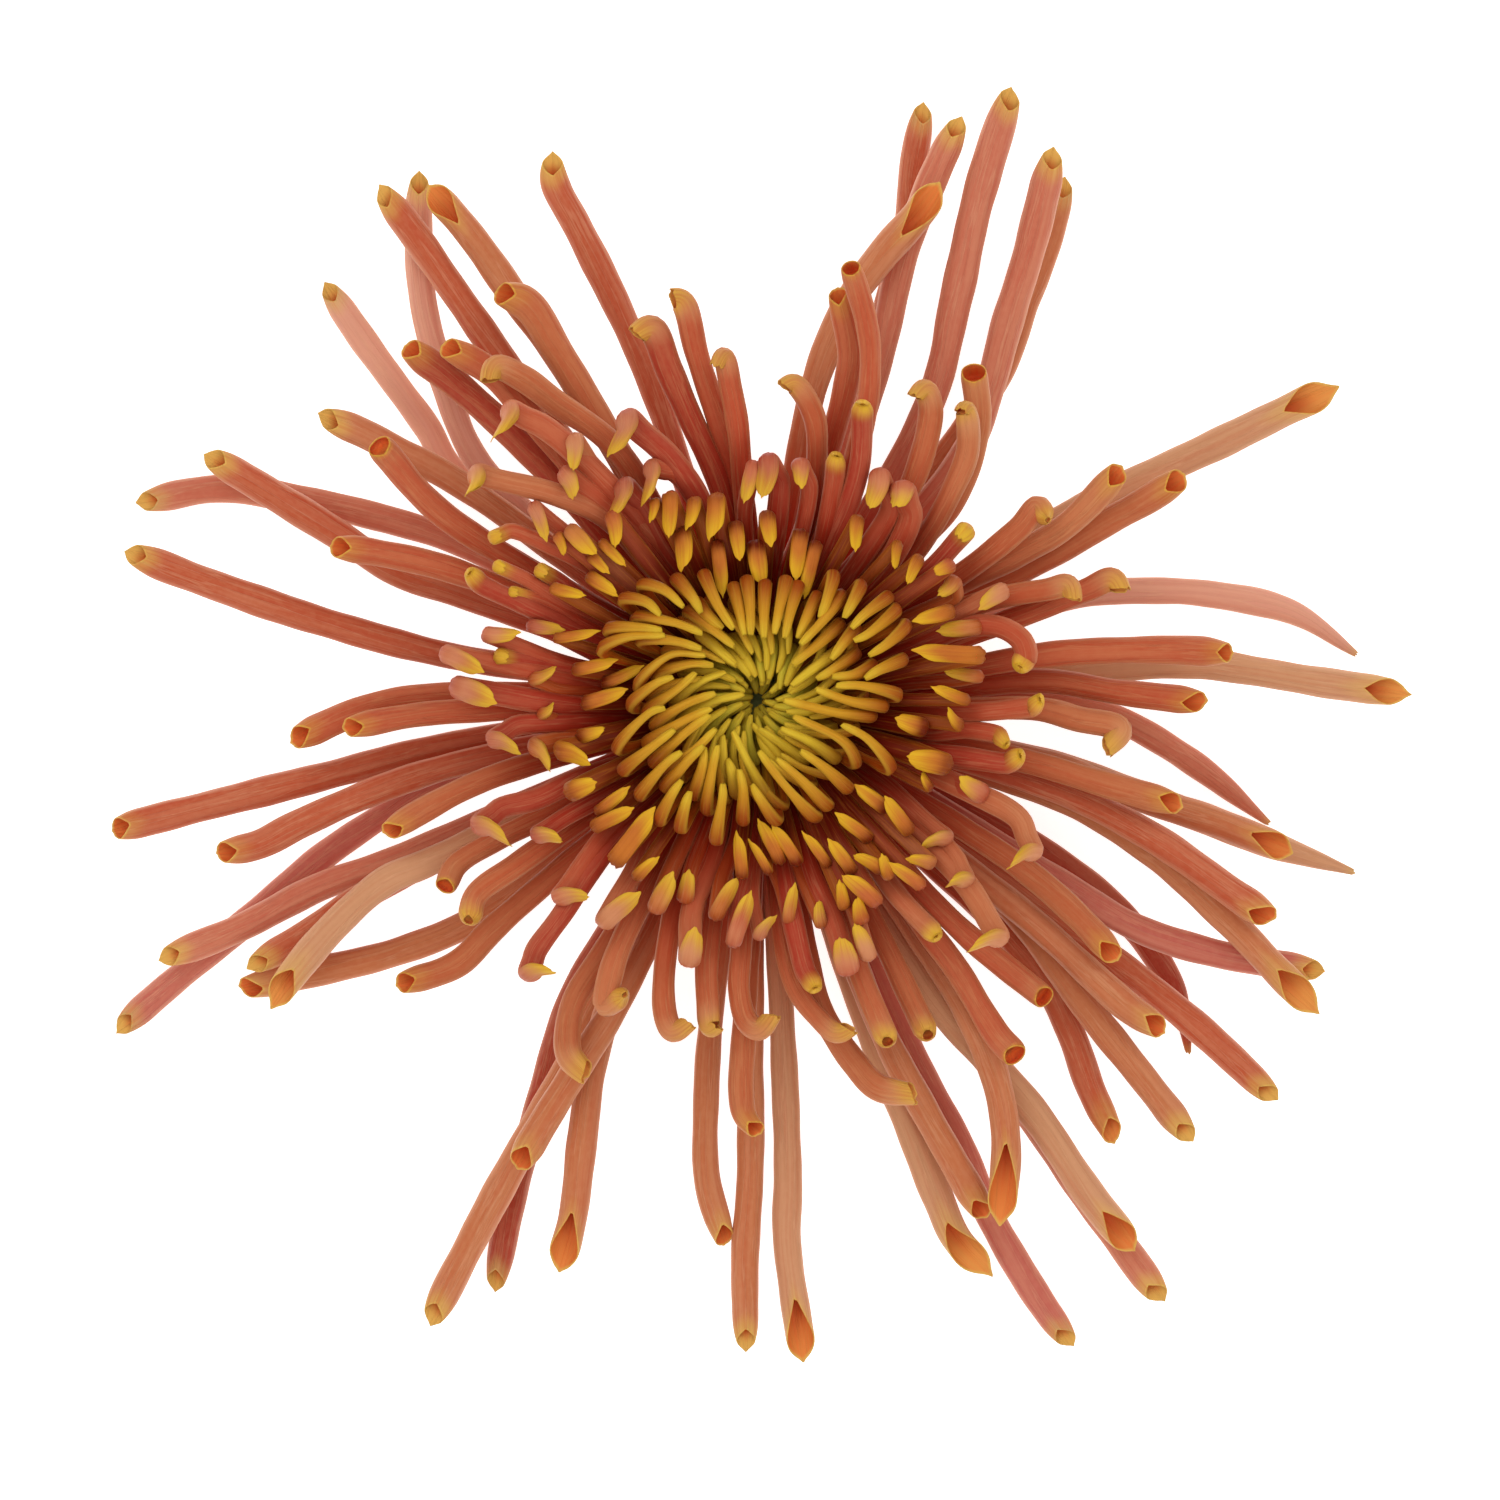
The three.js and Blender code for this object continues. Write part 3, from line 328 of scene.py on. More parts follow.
@dataclass
class Floret:
    """One tubular floret: its line, its half width at each station, its tip and its colours.

    A ``mouth`` or ``gold`` of 0 stands for the usual length of its kind of tip.
    """

    spine: Spine
    half: np.ndarray
    tip: Tip
    mouth: float
    hue: Tinted
    deep: np.ndarray
    pale: np.ndarray
    press: np.ndarray | None = None
    gold: float = 0.0
    roll: float = 0.0
    phase: float = 0.0

    @property
    def cut(self) -> TipForm:
        """Cut and colour of its tip."""
        return TIP_FORMS[self.tip]

    @property
    def opening(self) -> float:
        """Length of its opening."""
        return self.mouth or self.cut.mouth

    def lip(self, angle: np.ndarray) -> np.ndarray:
        """Finds how far along the tube its lip lies.

        Args:
            angle: Angles round the tube, from the top.

        Returns:
            The distance at each angle.
        """
        from_mouth = half_turns(angle - self.cut.roll - self.roll)
        share = 1.0 - np.abs(from_mouth) / math.pi
        opened = (1.0 - self.cut.beak) * share ** self.cut.cut + self.cut.beak * share ** 0.6
        behind = np.abs(np.abs(from_mouth) - math.pi)
        teeth = 0.5 - 0.5 * np.cos(TEETH * behind + 1.4 * math.sin(self.phase))
        notch = teeth * np.exp(-((behind / TEETH_REACH) ** 2))
        return self.spine.length - self.opening * opened - self.cut.teeth * notch

    def stations(self, form: TubeForm, lip: np.ndarray) -> np.ndarray:
        """Spaces the rows of the skin: up the outer wall, over the lip and down the lining.

        Args:
            form: Mesh density of the tube.
            lip: Distance of the lip in each column.

        Returns:
            Distance along the tube, by row and column.
        """
        length = self.spine.length
        rise = 1.0 - (1.0 - np.linspace(0.0, 1.0, form.rows + 1)) ** form.gather
        outer = rise[:, None] * (lip - form.lip_gap)[None, :]
        deepest = max(length - self.opening - self.cut.sink, 0.3 * length)
        sink = np.linspace(0.0, 1.0, form.lining_rows)[:, None] ** form.lining_gather
        inner = (lip - form.lining_gap)[None, :] * (1.0 - sink) + deepest * sink
        return np.vstack([outer, lip[None, :], inner])

    def surface(self, form: TubeForm, angle: np.ndarray, distance: np.ndarray,
                inset: np.ndarray) -> np.ndarray:
        """Places points on the tube's wall.

        Args:
            form: Cross-section of the tube.
            angle: Angle of each point round the tube, from the top.
            distance: Distance of each point along the tube.
            inset: How far inside the outer wall each point lies.

        Returns:
            The points, in millimetres from the eye.
        """
        half = self.spine.read(self.half, distance)
        taken = smooth(distance, FORMED[0] * self.spine.length, FORMED[1] * self.spine.length)
        from_groove = half_turns(angle) - form.groove_wander * math.sin(self.phase)
        channel = form.groove * taken * np.exp(-(from_groove / form.groove_width) ** 2)
        ribbed = 1.0 - channel + form.rib * np.cos(form.ribs * angle + self.phase)
        sway = 1.0 + sum(depth * np.sin(distance * pace + turn * self.phase)
                         for turn, (depth, pace) in enumerate(form.waves, 1)) * taken
        press = 1.0 if self.press is None else self.spine.read(self.press, distance)
        across = np.maximum(half * ribbed * sway - inset, form.thinnest)
        rise = np.maximum(half * form.flatness * press * ribbed - inset, form.thinnest)
        return (self.spine.read(self.spine.points, distance)
                + self.spine.read(self.spine.across, distance) * (np.sin(angle) * across)[..., None]
                + self.spine.read(self.spine.up, distance) * (np.cos(angle) * rise)[..., None])

    def tone(self, form: TubeForm, angle: np.ndarray, distance: np.ndarray,
             to_lip: np.ndarray) -> np.ndarray:
        """Works out the colour masks that the finish reads.

        Args:
            form: Mesh density of the tube.
            angle: Angle of each point round the tube, from the top.
            distance: Distance of each point along the tube.
            to_lip: Distance of each point from the lip.

        Returns:
            Four masks for each point: how deep in colour it is (deep red toward the eye, partly the
            petal's own and partly painted shade of the crevices there), how golden (with a painted glow on
            the lining), whether it is on the lining, and how pale (a paler shoulder and painted highlights
            on the bend and along the edges).
        """
        mouth, golden = self.opening, self.gold or self.cut.gold
        inside = form.by_row(0.0, 0.0, 1.0)
        gold = np.maximum(self.cut.gold_share * (1.0 - smooth(to_lip, 0.1 * golden, golden)),
                          1.0 - smooth(to_lip, *RIM_OUT))
        rim = 1.0 - smooth(to_lip, *RIM_IN)
        # Painted glow: behind the lip the lining is painted golden, standing for light shining through the
        # thin wall; the rim itself is the lip's real gold.
        glow = min(self.cut.glow + 0.15 * float(smooth(mouth, 3.0, 6.0)), MOST_GLOW)
        rim_and_painted_glow = np.maximum(rim, glow * (1.0 - smooth(to_lip, 0.25 * mouth, 1.1 * mouth)))
        # Painted highlight: the sides of the outer wall are painted pale, as a sheen on the tube's edges.
        edge = EDGE_HIGHLIGHT * smooth(np.abs(np.sin(angle)), 0.76, 1.0) * (1.0 - inside)
        # Deep red toward the eye: partly the petal's own colour, partly painted shade of the crevices near
        # the eye.
        deep = self.spine.read(self.deep, distance)
        deep = deep + TOP_RED * np.clip(np.cos(angle), 0.0, 1.0) ** 3 * (1.0 - deep)
        return np.stack([
            np.where(inside > 0.5, smooth(to_lip, 0.3, 1.2 * mouth + 0.5), deep),
            np.where(inside > 0.5, rim_and_painted_glow, gold),
            np.broadcast_to(inside, distance.shape),
            np.maximum(self.spine.read(self.pale, distance), edge),
        ], axis=-1)

    def grain(self, angle: np.ndarray, distance: np.ndarray) -> np.ndarray:
        """Coordinates of the petal's pattern: two round the tube, and one along it from its own start."""
        along = distance * GRAIN_ALONG + GRAIN_APART * self.phase
        return np.stack([GRAIN_ROUND * np.sin(angle), GRAIN_ROUND * np.cos(angle), along], axis=-1)


# How the values that a finish reads at the points of a skin are stored, and what their numbers are called.
MARKS = {"tone": ("FLOAT_COLOR", "color"), "tint": ("FLOAT_COLOR", "color"),
         "grain": ("FLOAT_VECTOR", "vector"), "margin": ("FLOAT", "value")}


@dataclass
class Skin:
    """Skin of one piece, made up of grids of points.

    Each grid is closed round its columns and capped at both ends.
    """

    name: str
    smooth_caps: bool = False
    points: list[np.ndarray] = field(default_factory=list)
    quads: list[list[int]] = field(default_factory=list)
    caps: list[list[int]] = field(default_factory=list)
    marks: dict[str, list[np.ndarray]] = field(default_factory=dict)
    total: int = 0

    def add(self, grid: np.ndarray, **marks: np.ndarray) -> None:
        """Adds a grid.

        Args:
            grid: Its points, by row and column.
            **marks: What the finish reads at each point, by name.
        """
        rows, sides = grid.shape[:2]
        row, column = np.meshgrid(np.arange(rows - 1), np.arange(sides), indexing="ij")
        here, after = self.total + row * sides, (column + 1) % sides
        quads = [here + column, here + after, here + sides + after, here + sides + column]
        self.quads.extend(np.stack(quads, axis=-1).reshape(-1, 4).tolist())
        first, last = self.total, self.total + (rows - 1) * sides
        self.caps.extend([[*range(first, first + sides)][::-1], [*range(last, last + sides)]])
        self.points.append(grid.reshape(-1, 3))
        for name, values in marks.items():
            self.marks.setdefault(name, []).append(values.reshape(rows * sides, -1))
        self.total += rows * sides

    def finish(self, material: bpy.types.Material) -> bpy.types.Object:
        """Makes the object.

        Args:
            material: Its finish.

        Returns:
            The object, in place in the frame.
        """
        mesh = bpy.data.meshes.new(self.name)
        mesh.from_pydata(((np.vstack(self.points) + EYE) * MM).tolist(), [], [*self.quads, *self.caps])
        wall = np.arange(len(mesh.polygons)) < len(self.quads)
        mesh.polygons.foreach_set("use_smooth", wall | self.smooth_caps)
        for name, values in self.marks.items():
            kind, key = MARKS[name]
            mesh.attributes.new(name, kind, "POINT").data.foreach_set(key, np.vstack(values).ravel())
        mesh.materials.append(material)
        return add_object(self.name, mesh)


@dataclass
class PetalSkin(Skin):
    """Skin of the florets of one piece, with a flat map in which each has its own cell.

    A floret's grid fills ``filled`` of the side of its cell, and starts at ``margin``.
    """

    smooth_caps: bool = True
    cells: int = 1
    margin: float = 0.04
    filled: float = 0.92
    corners: list[np.ndarray] = field(default_factory=list)
    cap_corners: list[np.ndarray] = field(default_factory=list)

    def add_floret(self, floret: Floret, form: TubeForm) -> None:
        """Adds one floret: its outer wall, its lip and its lining, as one grid.

        Args:
            floret: The floret.
            form: Its mesh density and cross-section.
        """
        lip = floret.lip(form.angles)
        distance = floret.stations(form, lip)
        angle = np.broadcast_to(form.angles[None, :], distance.shape)
        length = floret.cut.flare_length
        near = np.clip(distance - (lip - length)[None, :], 0.0, None) / length
        inset = form.by_row(0.0, 0.5, 1.0) * form.wall - floret.cut.flare * near ** 2 * floret.half.max()
        self.add(floret.surface(form, angle, distance, inset),
                 tone=floret.tone(form, angle, distance, lip[None, :] - distance),
                 tint=np.tile(np.array(floret.hue.tint), (distance.size, 1)),
                 grain=floret.grain(angle, distance))
        self.spread_flat(*distance.shape)

    def spread_flat(self, rows: int, sides: int) -> None:
        """Gives the newest floret its cell of the flat map.

        Args:
            rows: How many rows its grid has.
            sides: How many points a row has.
        """
        grid = math.ceil(math.sqrt(self.cells))
        place = len(self.corners)
        cell = np.array([place % grid, place // grid], float)
        row, column = np.meshgrid(np.arange(rows - 1), np.arange(sides), indexing="ij")
        flat = np.stack([np.stack([(column + right) / sides, (row + far) / (rows - 1)], axis=-1)
                         for right, far in ((0, 0), (1, 0), (1, 1), (0, 1))], axis=2)
        self.corners.append(((flat * self.filled + self.margin + cell) / grid).reshape(-1, 2))
        middle = (np.full((sides, 2), 0.5) * self.filled + cell) / grid
        self.cap_corners.extend([middle, middle])

    def finish(self, material: bpy.types.Material) -> bpy.types.Object:
        """Makes the object, with its flat map.

        Args:
            material: Its finish.

        Returns:
            The object, in place in the frame.
        """
        piece = super().finish(material)
        corners = np.vstack([*self.corners, *self.cap_corners]).astype(np.float32)
        piece.data.uv_layers.new(name="OFBake").uv.foreach_set("vector", corners.ravel())
        piece.data.validate()
        return piece


class NodeSheet:
    """A material's node tree, filled in step by step.

    Attributes:
        material: The material.
        shader: Its Principled shader.
    """

    def __init__(self, name: str) -> None:
        """Starts a material with a bare Principled shader.

        Args:
            name: Name of the material.
        """
        self.material = bpy.data.materials.new(name)
        self.material.use_nodes = True
        self.tree = self.material.node_tree
        self.shader = self.tree.nodes["Principled BSDF"]

    def feed(self, socket: bpy.types.NodeSocket, value: object) -> None:
        """Links a socket to another one, or sets its value.

        Args:
            socket: The input.
            value: An output socket, a number or a colour.
        """
        if isinstance(value, bpy.types.NodeSocket):
            self.tree.links.new(value, socket)
        else:
            socket.default_value = value

    def node(self, kind: str, inputs: dict[str | int, object] | None = None,
             **settings: object) -> bpy.types.Node:
        """Adds a node.

        Args:
            kind: Its type, without the ShaderNode prefix.
            inputs: What to feed its sockets, by name or number.
            **settings: Properties to set on it first.

        Returns:
            The node.
        """
        made = self.tree.nodes.new("ShaderNode" + kind)
        for name, value in settings.items():
            setattr(made, name, value)
        for socket, value in (inputs or {}).items():
            self.feed(made.inputs[socket], value)
        return made

    def attribute(self, name: str) -> bpy.types.Node:
        """Reads a mesh attribute by name."""
        return self.node("Attribute", attribute_name=name)

    def mix(self, share: object, low: object, high: object) -> bpy.types.NodeSocket:
        """Mixes two colours, with so large a share of the second."""
        return self.node("Mix", {0: share, 6: low, 7: high}, data_type="RGBA").outputs[2]

    def math(self, operation: str, first: object, second: object) -> bpy.types.NodeSocket:
        """Does one sum, such as ADD, and keeps the result between 0 and 1."""
        return self.node("Math", {0: first, 1: second}, operation=operation, use_clamp=True).outputs[0]

    def noise(self, vector: bpy.types.NodeSocket, scale: float, detail: float = 2.0,
              stretch: tuple[float, float, float] = (1.0, 1.0, 1.0)) -> bpy.types.NodeSocket:
        """Makes a noise pattern: about 0.5 on average, and finer for a larger scale."""
        place = self.node("Mapping", {"Vector": vector, "Scale": stretch}).outputs[0]
        return self.node("TexNoise", {"Vector": place, "Scale": scale, "Detail": detail}).outputs["Fac"]

    def spread(self, value: bpy.types.NodeSocket, low: float, high: float,
               to_low: float = 0.0, to_high: float = 1.0) -> bpy.types.NodeSocket:
        """Eases a value from one range, low to high, to another one, in which it stays."""
        limits = {"Value": value, "From Min": low, "From Max": high, "To Min": to_low, "To Max": to_high}
        return self.node("MapRange", limits, interpolation_type="SMOOTHSTEP").outputs["Result"]

    def bump(self, height: bpy.types.NodeSocket, depth_mm: float) -> None:
        """Gives the shader a relief, as deep as the full range of the height pattern."""
        relief = self.node("Bump", {"Strength": 1.0, "Distance": depth_mm * MM, "Height": height})
        self.feed(self.shader.inputs["Normal"], relief.outputs[0])

    def paint(self, colour: bpy.types.NodeSocket, **values: object) -> None:
        """Feeds the shader its base colour and sets other sockets of it.

        Args:
            colour: The base colour.
            **values: What to set, by socket, with underscores for spaces.
        """
        self.feed(self.shader.inputs["Base Color"], colour)
        for name, value in values.items():
            self.shader.inputs[name.replace("_", " ")].default_value = value


@dataclass(frozen=True)
class PetalFinish:
    """Satin petal: veined lengthwise, deep red at the root (partly painted shade), gold at the lip, orange
    within.
    """

    name: str
    deep: Colour = linear(176, 37, 20)
    gold: Colour = linear(214, 170, 82)
    gold_shade: Colour = linear(206, 140, 66)
    lip: Colour = linear(214, 168, 82)
    lining: Colour = linear(220, 104, 48)
    throat: Colour = linear(228, 80, 36)
    pale: Colour = linear(226, 172, 132)
    streak: float = 0.28
    vein: float = 0.24
    mottle: float = 0.12
    crease: float = 0.2
    roughness: float = 0.44
    sheen: float = 0.04
    gloss_tint: Colour = (1.0, 0.6, 0.34, 1.0)
    depth: float = 0.1

    def material(self) -> bpy.types.Material:
        """Builds the material.

        Returns:
            The material, which reads the tone, tint and grain of a petal's skin.
        """
        sheet = NodeSheet(self.name)
        tone, tint, grain = (sheet.attribute(name).outputs for name in ("tone", "tint", "grain"))
        deepness, golden, inside = sheet.node("SeparateColor", {0: tone["Color"]}).outputs
        fibres = sheet.noise(grain["Vector"], 1.5, 3.0)
        broad = sheet.noise(grain["Vector"], 0.6, 1.5, (1.0, 1.0, 1.4))
        fine = sheet.noise(grain["Vector"], 3.6, 1.5, (1.0, 1.0, 0.7))
        blotch = sheet.noise(grain["Vector"], 2.4, 3.0, (1.0, 1.0, 14.0))
        crease = sheet.math("MULTIPLY", sheet.spread(fibres, 0.465, 0.5),
                            sheet.spread(fibres, 0.5, 0.535, 1.0, 0.0))
        body = tint["Color"]
        light = sheet.mix(0.45, body, self.pale)
        dark = sheet.mix(0.5, body, self.deep)
        for pattern, start, stop, strength, colour in (
                (fibres, 0.5, 0.62, self.streak, light), (broad, 0.5, 0.34, self.streak, dark),
                (fine, 0.47, 0.38, self.vein, dark), (fine, 0.54, 0.64, 0.6 * self.vein, light),
                (blotch, 0.4, 0.62, self.mottle, light)):
            body = sheet.mix(sheet.spread(pattern, start, stop, 0.0, strength), body, colour)
        # Deep red toward the eye: partly the petal's colour, partly painted shade of the crevices there.
        uneven = sheet.math("ADD", deepness, sheet.spread(broad, 0.35, 0.65, -0.12, 0.12))
        body = sheet.mix(sheet.math("MULTIPLY", uneven, deepness), body, self.deep)
        body = sheet.mix(sheet.math("MULTIPLY", crease, self.crease), body, self.pale)
        # Painted highlight: the pale mask lightens the shoulders, bends and edges.
        body = sheet.mix(tone["Alpha"], body, self.pale)
        gold = sheet.mix(sheet.spread(fine, 0.52, 0.36, 0.0, 0.7), self.gold, self.gold_shade)
        edge = sheet.math("MULTIPLY", golden, sheet.spread(fibres, 0.3, 0.6, 0.78, 1.0))
        outer = sheet.mix(edge, body, gold)
        inner = sheet.mix(sheet.spread(fine, 0.6, 0.38, 0.0, 0.55), self.lining, self.throat)
        # The golden mask gives the real gold rim of the lip and the painted glow of the lining behind it.
        inner = sheet.mix(golden, sheet.mix(deepness, inner, self.throat), self.lip)
        sheet.bump(sheet.mix(0.25, sheet.mix(0.4, fibres, fine), crease), self.depth)
        sheet.paint(sheet.mix(inside, outer, inner), Roughness=self.roughness, Sheen_Weight=self.sheen,
                    Sheen_Roughness=0.35, Sheen_Tint=self.gloss_tint, Specular_Tint=self.gloss_tint,
                    Specular_IOR_Level=0.3)
        return sheet.material


@dataclass(frozen=True)
class GreenFinish:
    """Green plant tissue with lengthwise fibres: stem, receptacle or bract."""

    name: str
    base: Colour
    shade: Colour
    pale: Colour
    scale: float = 900.0
    stretch: tuple[float, float, float] = (1.0, 1.0, 0.15)
    roughness: float = 0.6
    depth: float = 0.15

    def material(self) -> bpy.types.Material:
        """Builds the material.

        Returns:
            The material, which turns pale where the skin's margin says so.
        """
        sheet = NodeSheet(self.name)
        place = sheet.node("TexCoord").outputs["Object"]
        fibres = sheet.noise(place, self.scale, 3.0, self.stretch)
        blotch = sheet.noise(place, self.scale * 0.3)
        colour = sheet.mix(sheet.spread(fibres, 0.35, 0.65), self.base, self.shade)
        colour = sheet.mix(sheet.spread(blotch, 0.45, 0.75, 0.0, 0.5), colour, self.pale)
        colour = sheet.mix(sheet.attribute("margin").outputs["Fac"], colour, self.pale)
        sheet.bump(fibres, self.depth)
        sheet.paint(colour, Roughness=self.roughness, Specular_IOR_Level=0.3)
        return sheet.material


class LongRow(NamedTuple):
    """A long floret, with the x, y points along it from the eye to its tip.

    A ``mouth`` of 0 stands for the usual opening of its tip, and its ``level`` counts from below.
    """

    tip: Tip
    mouth: float
    hue: Hue
    level: int
    width: float
    plan: tuple[float, ...]


class ClawRow(NamedTuple):
    """A claw, with the x, y points along its tube to its shoulder and, last, of its tip."""

    width: float
    plan: tuple[float, ...]
    tip: Tip = Tip.CLAW


OUTER_ROWS = tuple(map(LongRow._make, (
    (Tip.SPOON, 5.3, Hue.APRICOT, 1, 3, (44, 3.6, 50, 2.9, 56, 1.9, 65.5, 0.6)),
    (Tip.POINTED, 0, Hue.BLUSH, 0, 2.8, (32, 10.4, 40, 11, 46, 10.6, 54, 8.8, 60.1, 4.8)),
    (Tip.SPOON, 6.9, Hue.APRICOT, 1, 3.2, (30, 17.9, 38, 21.9, 46, 25.6, 54, 29.5, 58.3, 31.5)),
    (Tip.CLOSED, 0, Hue.AMBER, 0, 2.8, (24.5, 33, 27, 40, 29.3, 46, 31, 52.4)),
    (Tip.CLOSED, 0, Hue.SALMON, 1, 3.2, (21, 25, 23, 30, 25, 37.5, 27.3, 45, 29.8, 55.2)),
    (Tip.CLOSED, 0, Hue.SALMON, 1, 3.3, (17.4, 30, 19.9, 40, 22.1, 50, 24.5, 58, 25.6, 61.2)),
    (Tip.MOUTH, 5.5, Hue.AMBER, 2, 3.2, (5.6, 31, 9, 39.5, 12.5, 44.5, 16, 48.5, 18.3, 51.7)),
    (Tip.CLOSED, 0, Hue.SALMON, 1, 3, (12, 33, 14.5, 44, 17.3, 51.5, 20.4, 58.3)),
    (Tip.CLOSED, 0, Hue.RUST, 0, 2.7, (12.5, 38, 15, 47, 15.6, 53, 16.8, 59.9)),
    (Tip.CLOSED, 0, Hue.RUST, 1, 3, (-10.5, 31.5, -14, 39.5, -18, 47.5, -20.3, 52, -20.5, 54.7)),
    (Tip.MOUTH, 4, Hue.AMBER, 2, 3, (-16, 28, -20, 34.5, -24, 40, -29, 47, -32.9, 51.4)),
    (Tip.CLOSED, 0, Hue.BLUSH, 1, 2.8, (-27.5, 23.2, -31.4, 32, -33.5, 40, -34, 48, -33.9, 52.8)),
    (Tip.CLOSED, 0, Hue.RUST, 2, 3, (-24, 32, -30, 40.5, -34, 46.2, -37.8, 51.3)),
    (Tip.CLOSED, 0, Hue.BLUSH, 0, 2.8, (-30.8, 23.4, -33, 27.2, -36.5, 32, -40, 36.8, -43.4, 41.8)),
    (Tip.CLOSED, 0, Hue.AMBER, 2, 3, (-30, 21.8, -36, 25, -40, 27, -43.7, 28.5)),
    (Tip.CLOSED, 0, Hue.RUST, 1, 3.1, (-31, 11, -36, 12.8, -42, 16.6, -50, 21.5, -55.2, 24.6)),
    (Tip.CLOSED, 0, Hue.SALMON, 0, 2.9, (-30, 15.8, -40, 18.9, -46, 20.2, -54, 21.3, -62.2, 19.9)),
    (Tip.CLOSED, 0, Hue.RUST, 1, 3.1, (-30.5, 4.4, -44, 8, -56, 12.1, -63.2, 14.9)),
    (Tip.MOUTH, 1.5, Hue.RUST, 1, 3, (-30, -4.3, -44, -7.8, -56, -10.8, -64.6, -13)),
    (Tip.MOUTH, 1.5, Hue.RUST, 2, 3, (-30, -6.4, -38, -9, -46, -12.5, -50, -14.5, -53.9, -15.3)),
    (Tip.CLOSED, 0, Hue.SALMON, 1, 2.9, (-29, -12.8, -36, -15.9, -44, -18.8, -52, -22.9, -59.8, -26)),
    (Tip.CLOSED, 0, Hue.ROSE, 0, 2.8,
     (-30, -7, -37, -11.2, -44, -16, -52, -22.8, -60, -29.4, -64.3, -33.2)),
    (Tip.CLOSED, 0, Hue.RUST, 2, 2.8, (-32, -15.8, -40, -20, -45, -23.3, -50.8, -26.8)),
    (Tip.MOUTH, 1.8, Hue.AMBER, 1, 3, (-28, -21.8, -36, -25.2, -44, -27.2, -51.7, -28.9)),
    (Tip.SPOON, 5, Hue.APRICOT, 3, 3.1, (-33, -16.3, -37, -18, -42, -22.3, -46.5, -27.5, -48.6, -30.6)),
    (Tip.CLOSED, 0, Hue.AMBER, 1, 3.1, (-16, -31, -19, -37, -25, -47.5, -30.3, -57.5, -32.8, -62.5)),
    (Tip.MOUTH, 1.8, Hue.AMBER, 3, 3.1, (-13.5, -29.5, -17.5, -36, -21.5, -42.5, -23.9, -46.6)),
    (Tip.CLOSED, 0, Hue.CRIMSON, 0, 2.8, (-18.7, -30, -21.7, -40, -24.6, -50, -26.4, -59.2)),
    (Tip.MOUTH, 5.2, Hue.AMBER, 2, 3, (-14.5, -30, -16.5, -37, -17.5, -44, -18.5, -52, -19.9, -57.2)),
    (Tip.MOUTH, 1.5, Hue.AMBER, 1, 2.7, (-4.6, -32, -5.1, -40, -5, -48, -3.2, -54.4)),
    (Tip.CLOSED, 0, Hue.AMBER, 1, 2.8, (-0.6, -34, -0.7, -48, -1.2, -56, -1.1, -65.1)),
    (Tip.MOUTH, 5.5, Hue.APRICOT, 1, 2.9, (2.6, -34, 3.1, -48, 3, -54, 4.7, -66.4)),
    (Tip.SPOON, 8, Hue.APRICOT, 1, 3.2, (10.5, -31, 15, -42, 18.2, -50, 20, -54, 23.5, -57.8)),
    (Tip.MOUTH, 1.5, Hue.AMBER, 2, 3, (12.5, -33, 17, -41.5, 21, -48.5, 22.8, -51.6)),
    (Tip.MOUTH, 7, Hue.AMBER, 3, 3, (20.3, -30, 23.6, -37, 24.9, -44, 24.3, -52.5)),
    (Tip.CLOSED, 0, Hue.ROSE, 0, 3, (15.8, -36, 20, -44, 23.5, -52, 28.2, -60, 31.6, -64.8)),
    (Tip.MOUTH, 4.2, Hue.APRICOT, 2, 3.2, (17.8, -30, 24, -37, 28.2, -42, 33.5, -49.8, 37.8, -55.1)),
    (Tip.CLOSED, 0, Hue.SALMON, 1, 3.1, (19, -30, 27, -41, 34, -51, 40.7, -60.2)),
    (Tip.SPOON, 3, Hue.RUST, 1, 2.9, (27, -25.6, 31.3, -33, 33.5, -39, 36, -44.2)),
    (Tip.CLOSED, 0, Hue.AMBER, 2, 3, (26, -21.5, 32, -29.5, 38, -37, 43.5, -44)),
    (Tip.POINTED, 0, Hue.CRIMSON, 0, 2.8, (28, -14.5, 36, -20.8, 41.5, -28, 42.9, -32, 43.4, -35.2)),
    (Tip.MOUTH, 1.8, Hue.AMBER, 3, 3, (28, -22.5, 34, -28, 37.3, -30.9, 40.6, -33)),
    (Tip.CLOSED, 0, Hue.RUST, 1, 3, (29.6, -22, 36, -26.3, 44, -32.6, 52, -40)),
    (Tip.SPOON, 6.8, Hue.AMBER, 2, 3.1, (32, -10.6, 40, -15.6, 48, -22.8, 52, -27, 56.3, -31.3)),
    (Tip.CLOSED, 0, Hue.ROSE, 1, 2.9, (30, -18, 38, -22.8, 46, -25.4, 56.7, -27.2)),
    (Tip.MOUTH, 2, Hue.RUST, 3, 3.1, (28, -8.2, 32, -9.8, 40, -14, 48, -19.6, 51.5, -21.9)),
    (Tip.MOUTH, 3.8, Hue.AMBER, 1, 3, (30, -6.6, 36, -9, 46, -12.2, 53.6, -15.2)),
    (Tip.POINTED, 0, Hue.APRICOT, 0, 2.9, (30, -6.4, 40, -10, 48, -13.2, 59.8, -17.2)),
    (Tip.POINTED, 0, Hue.SALMON, 0, 2.8, (30, -0.4, 36, -1.8, 44, -6.4, 51.3, -12.2)),
)))

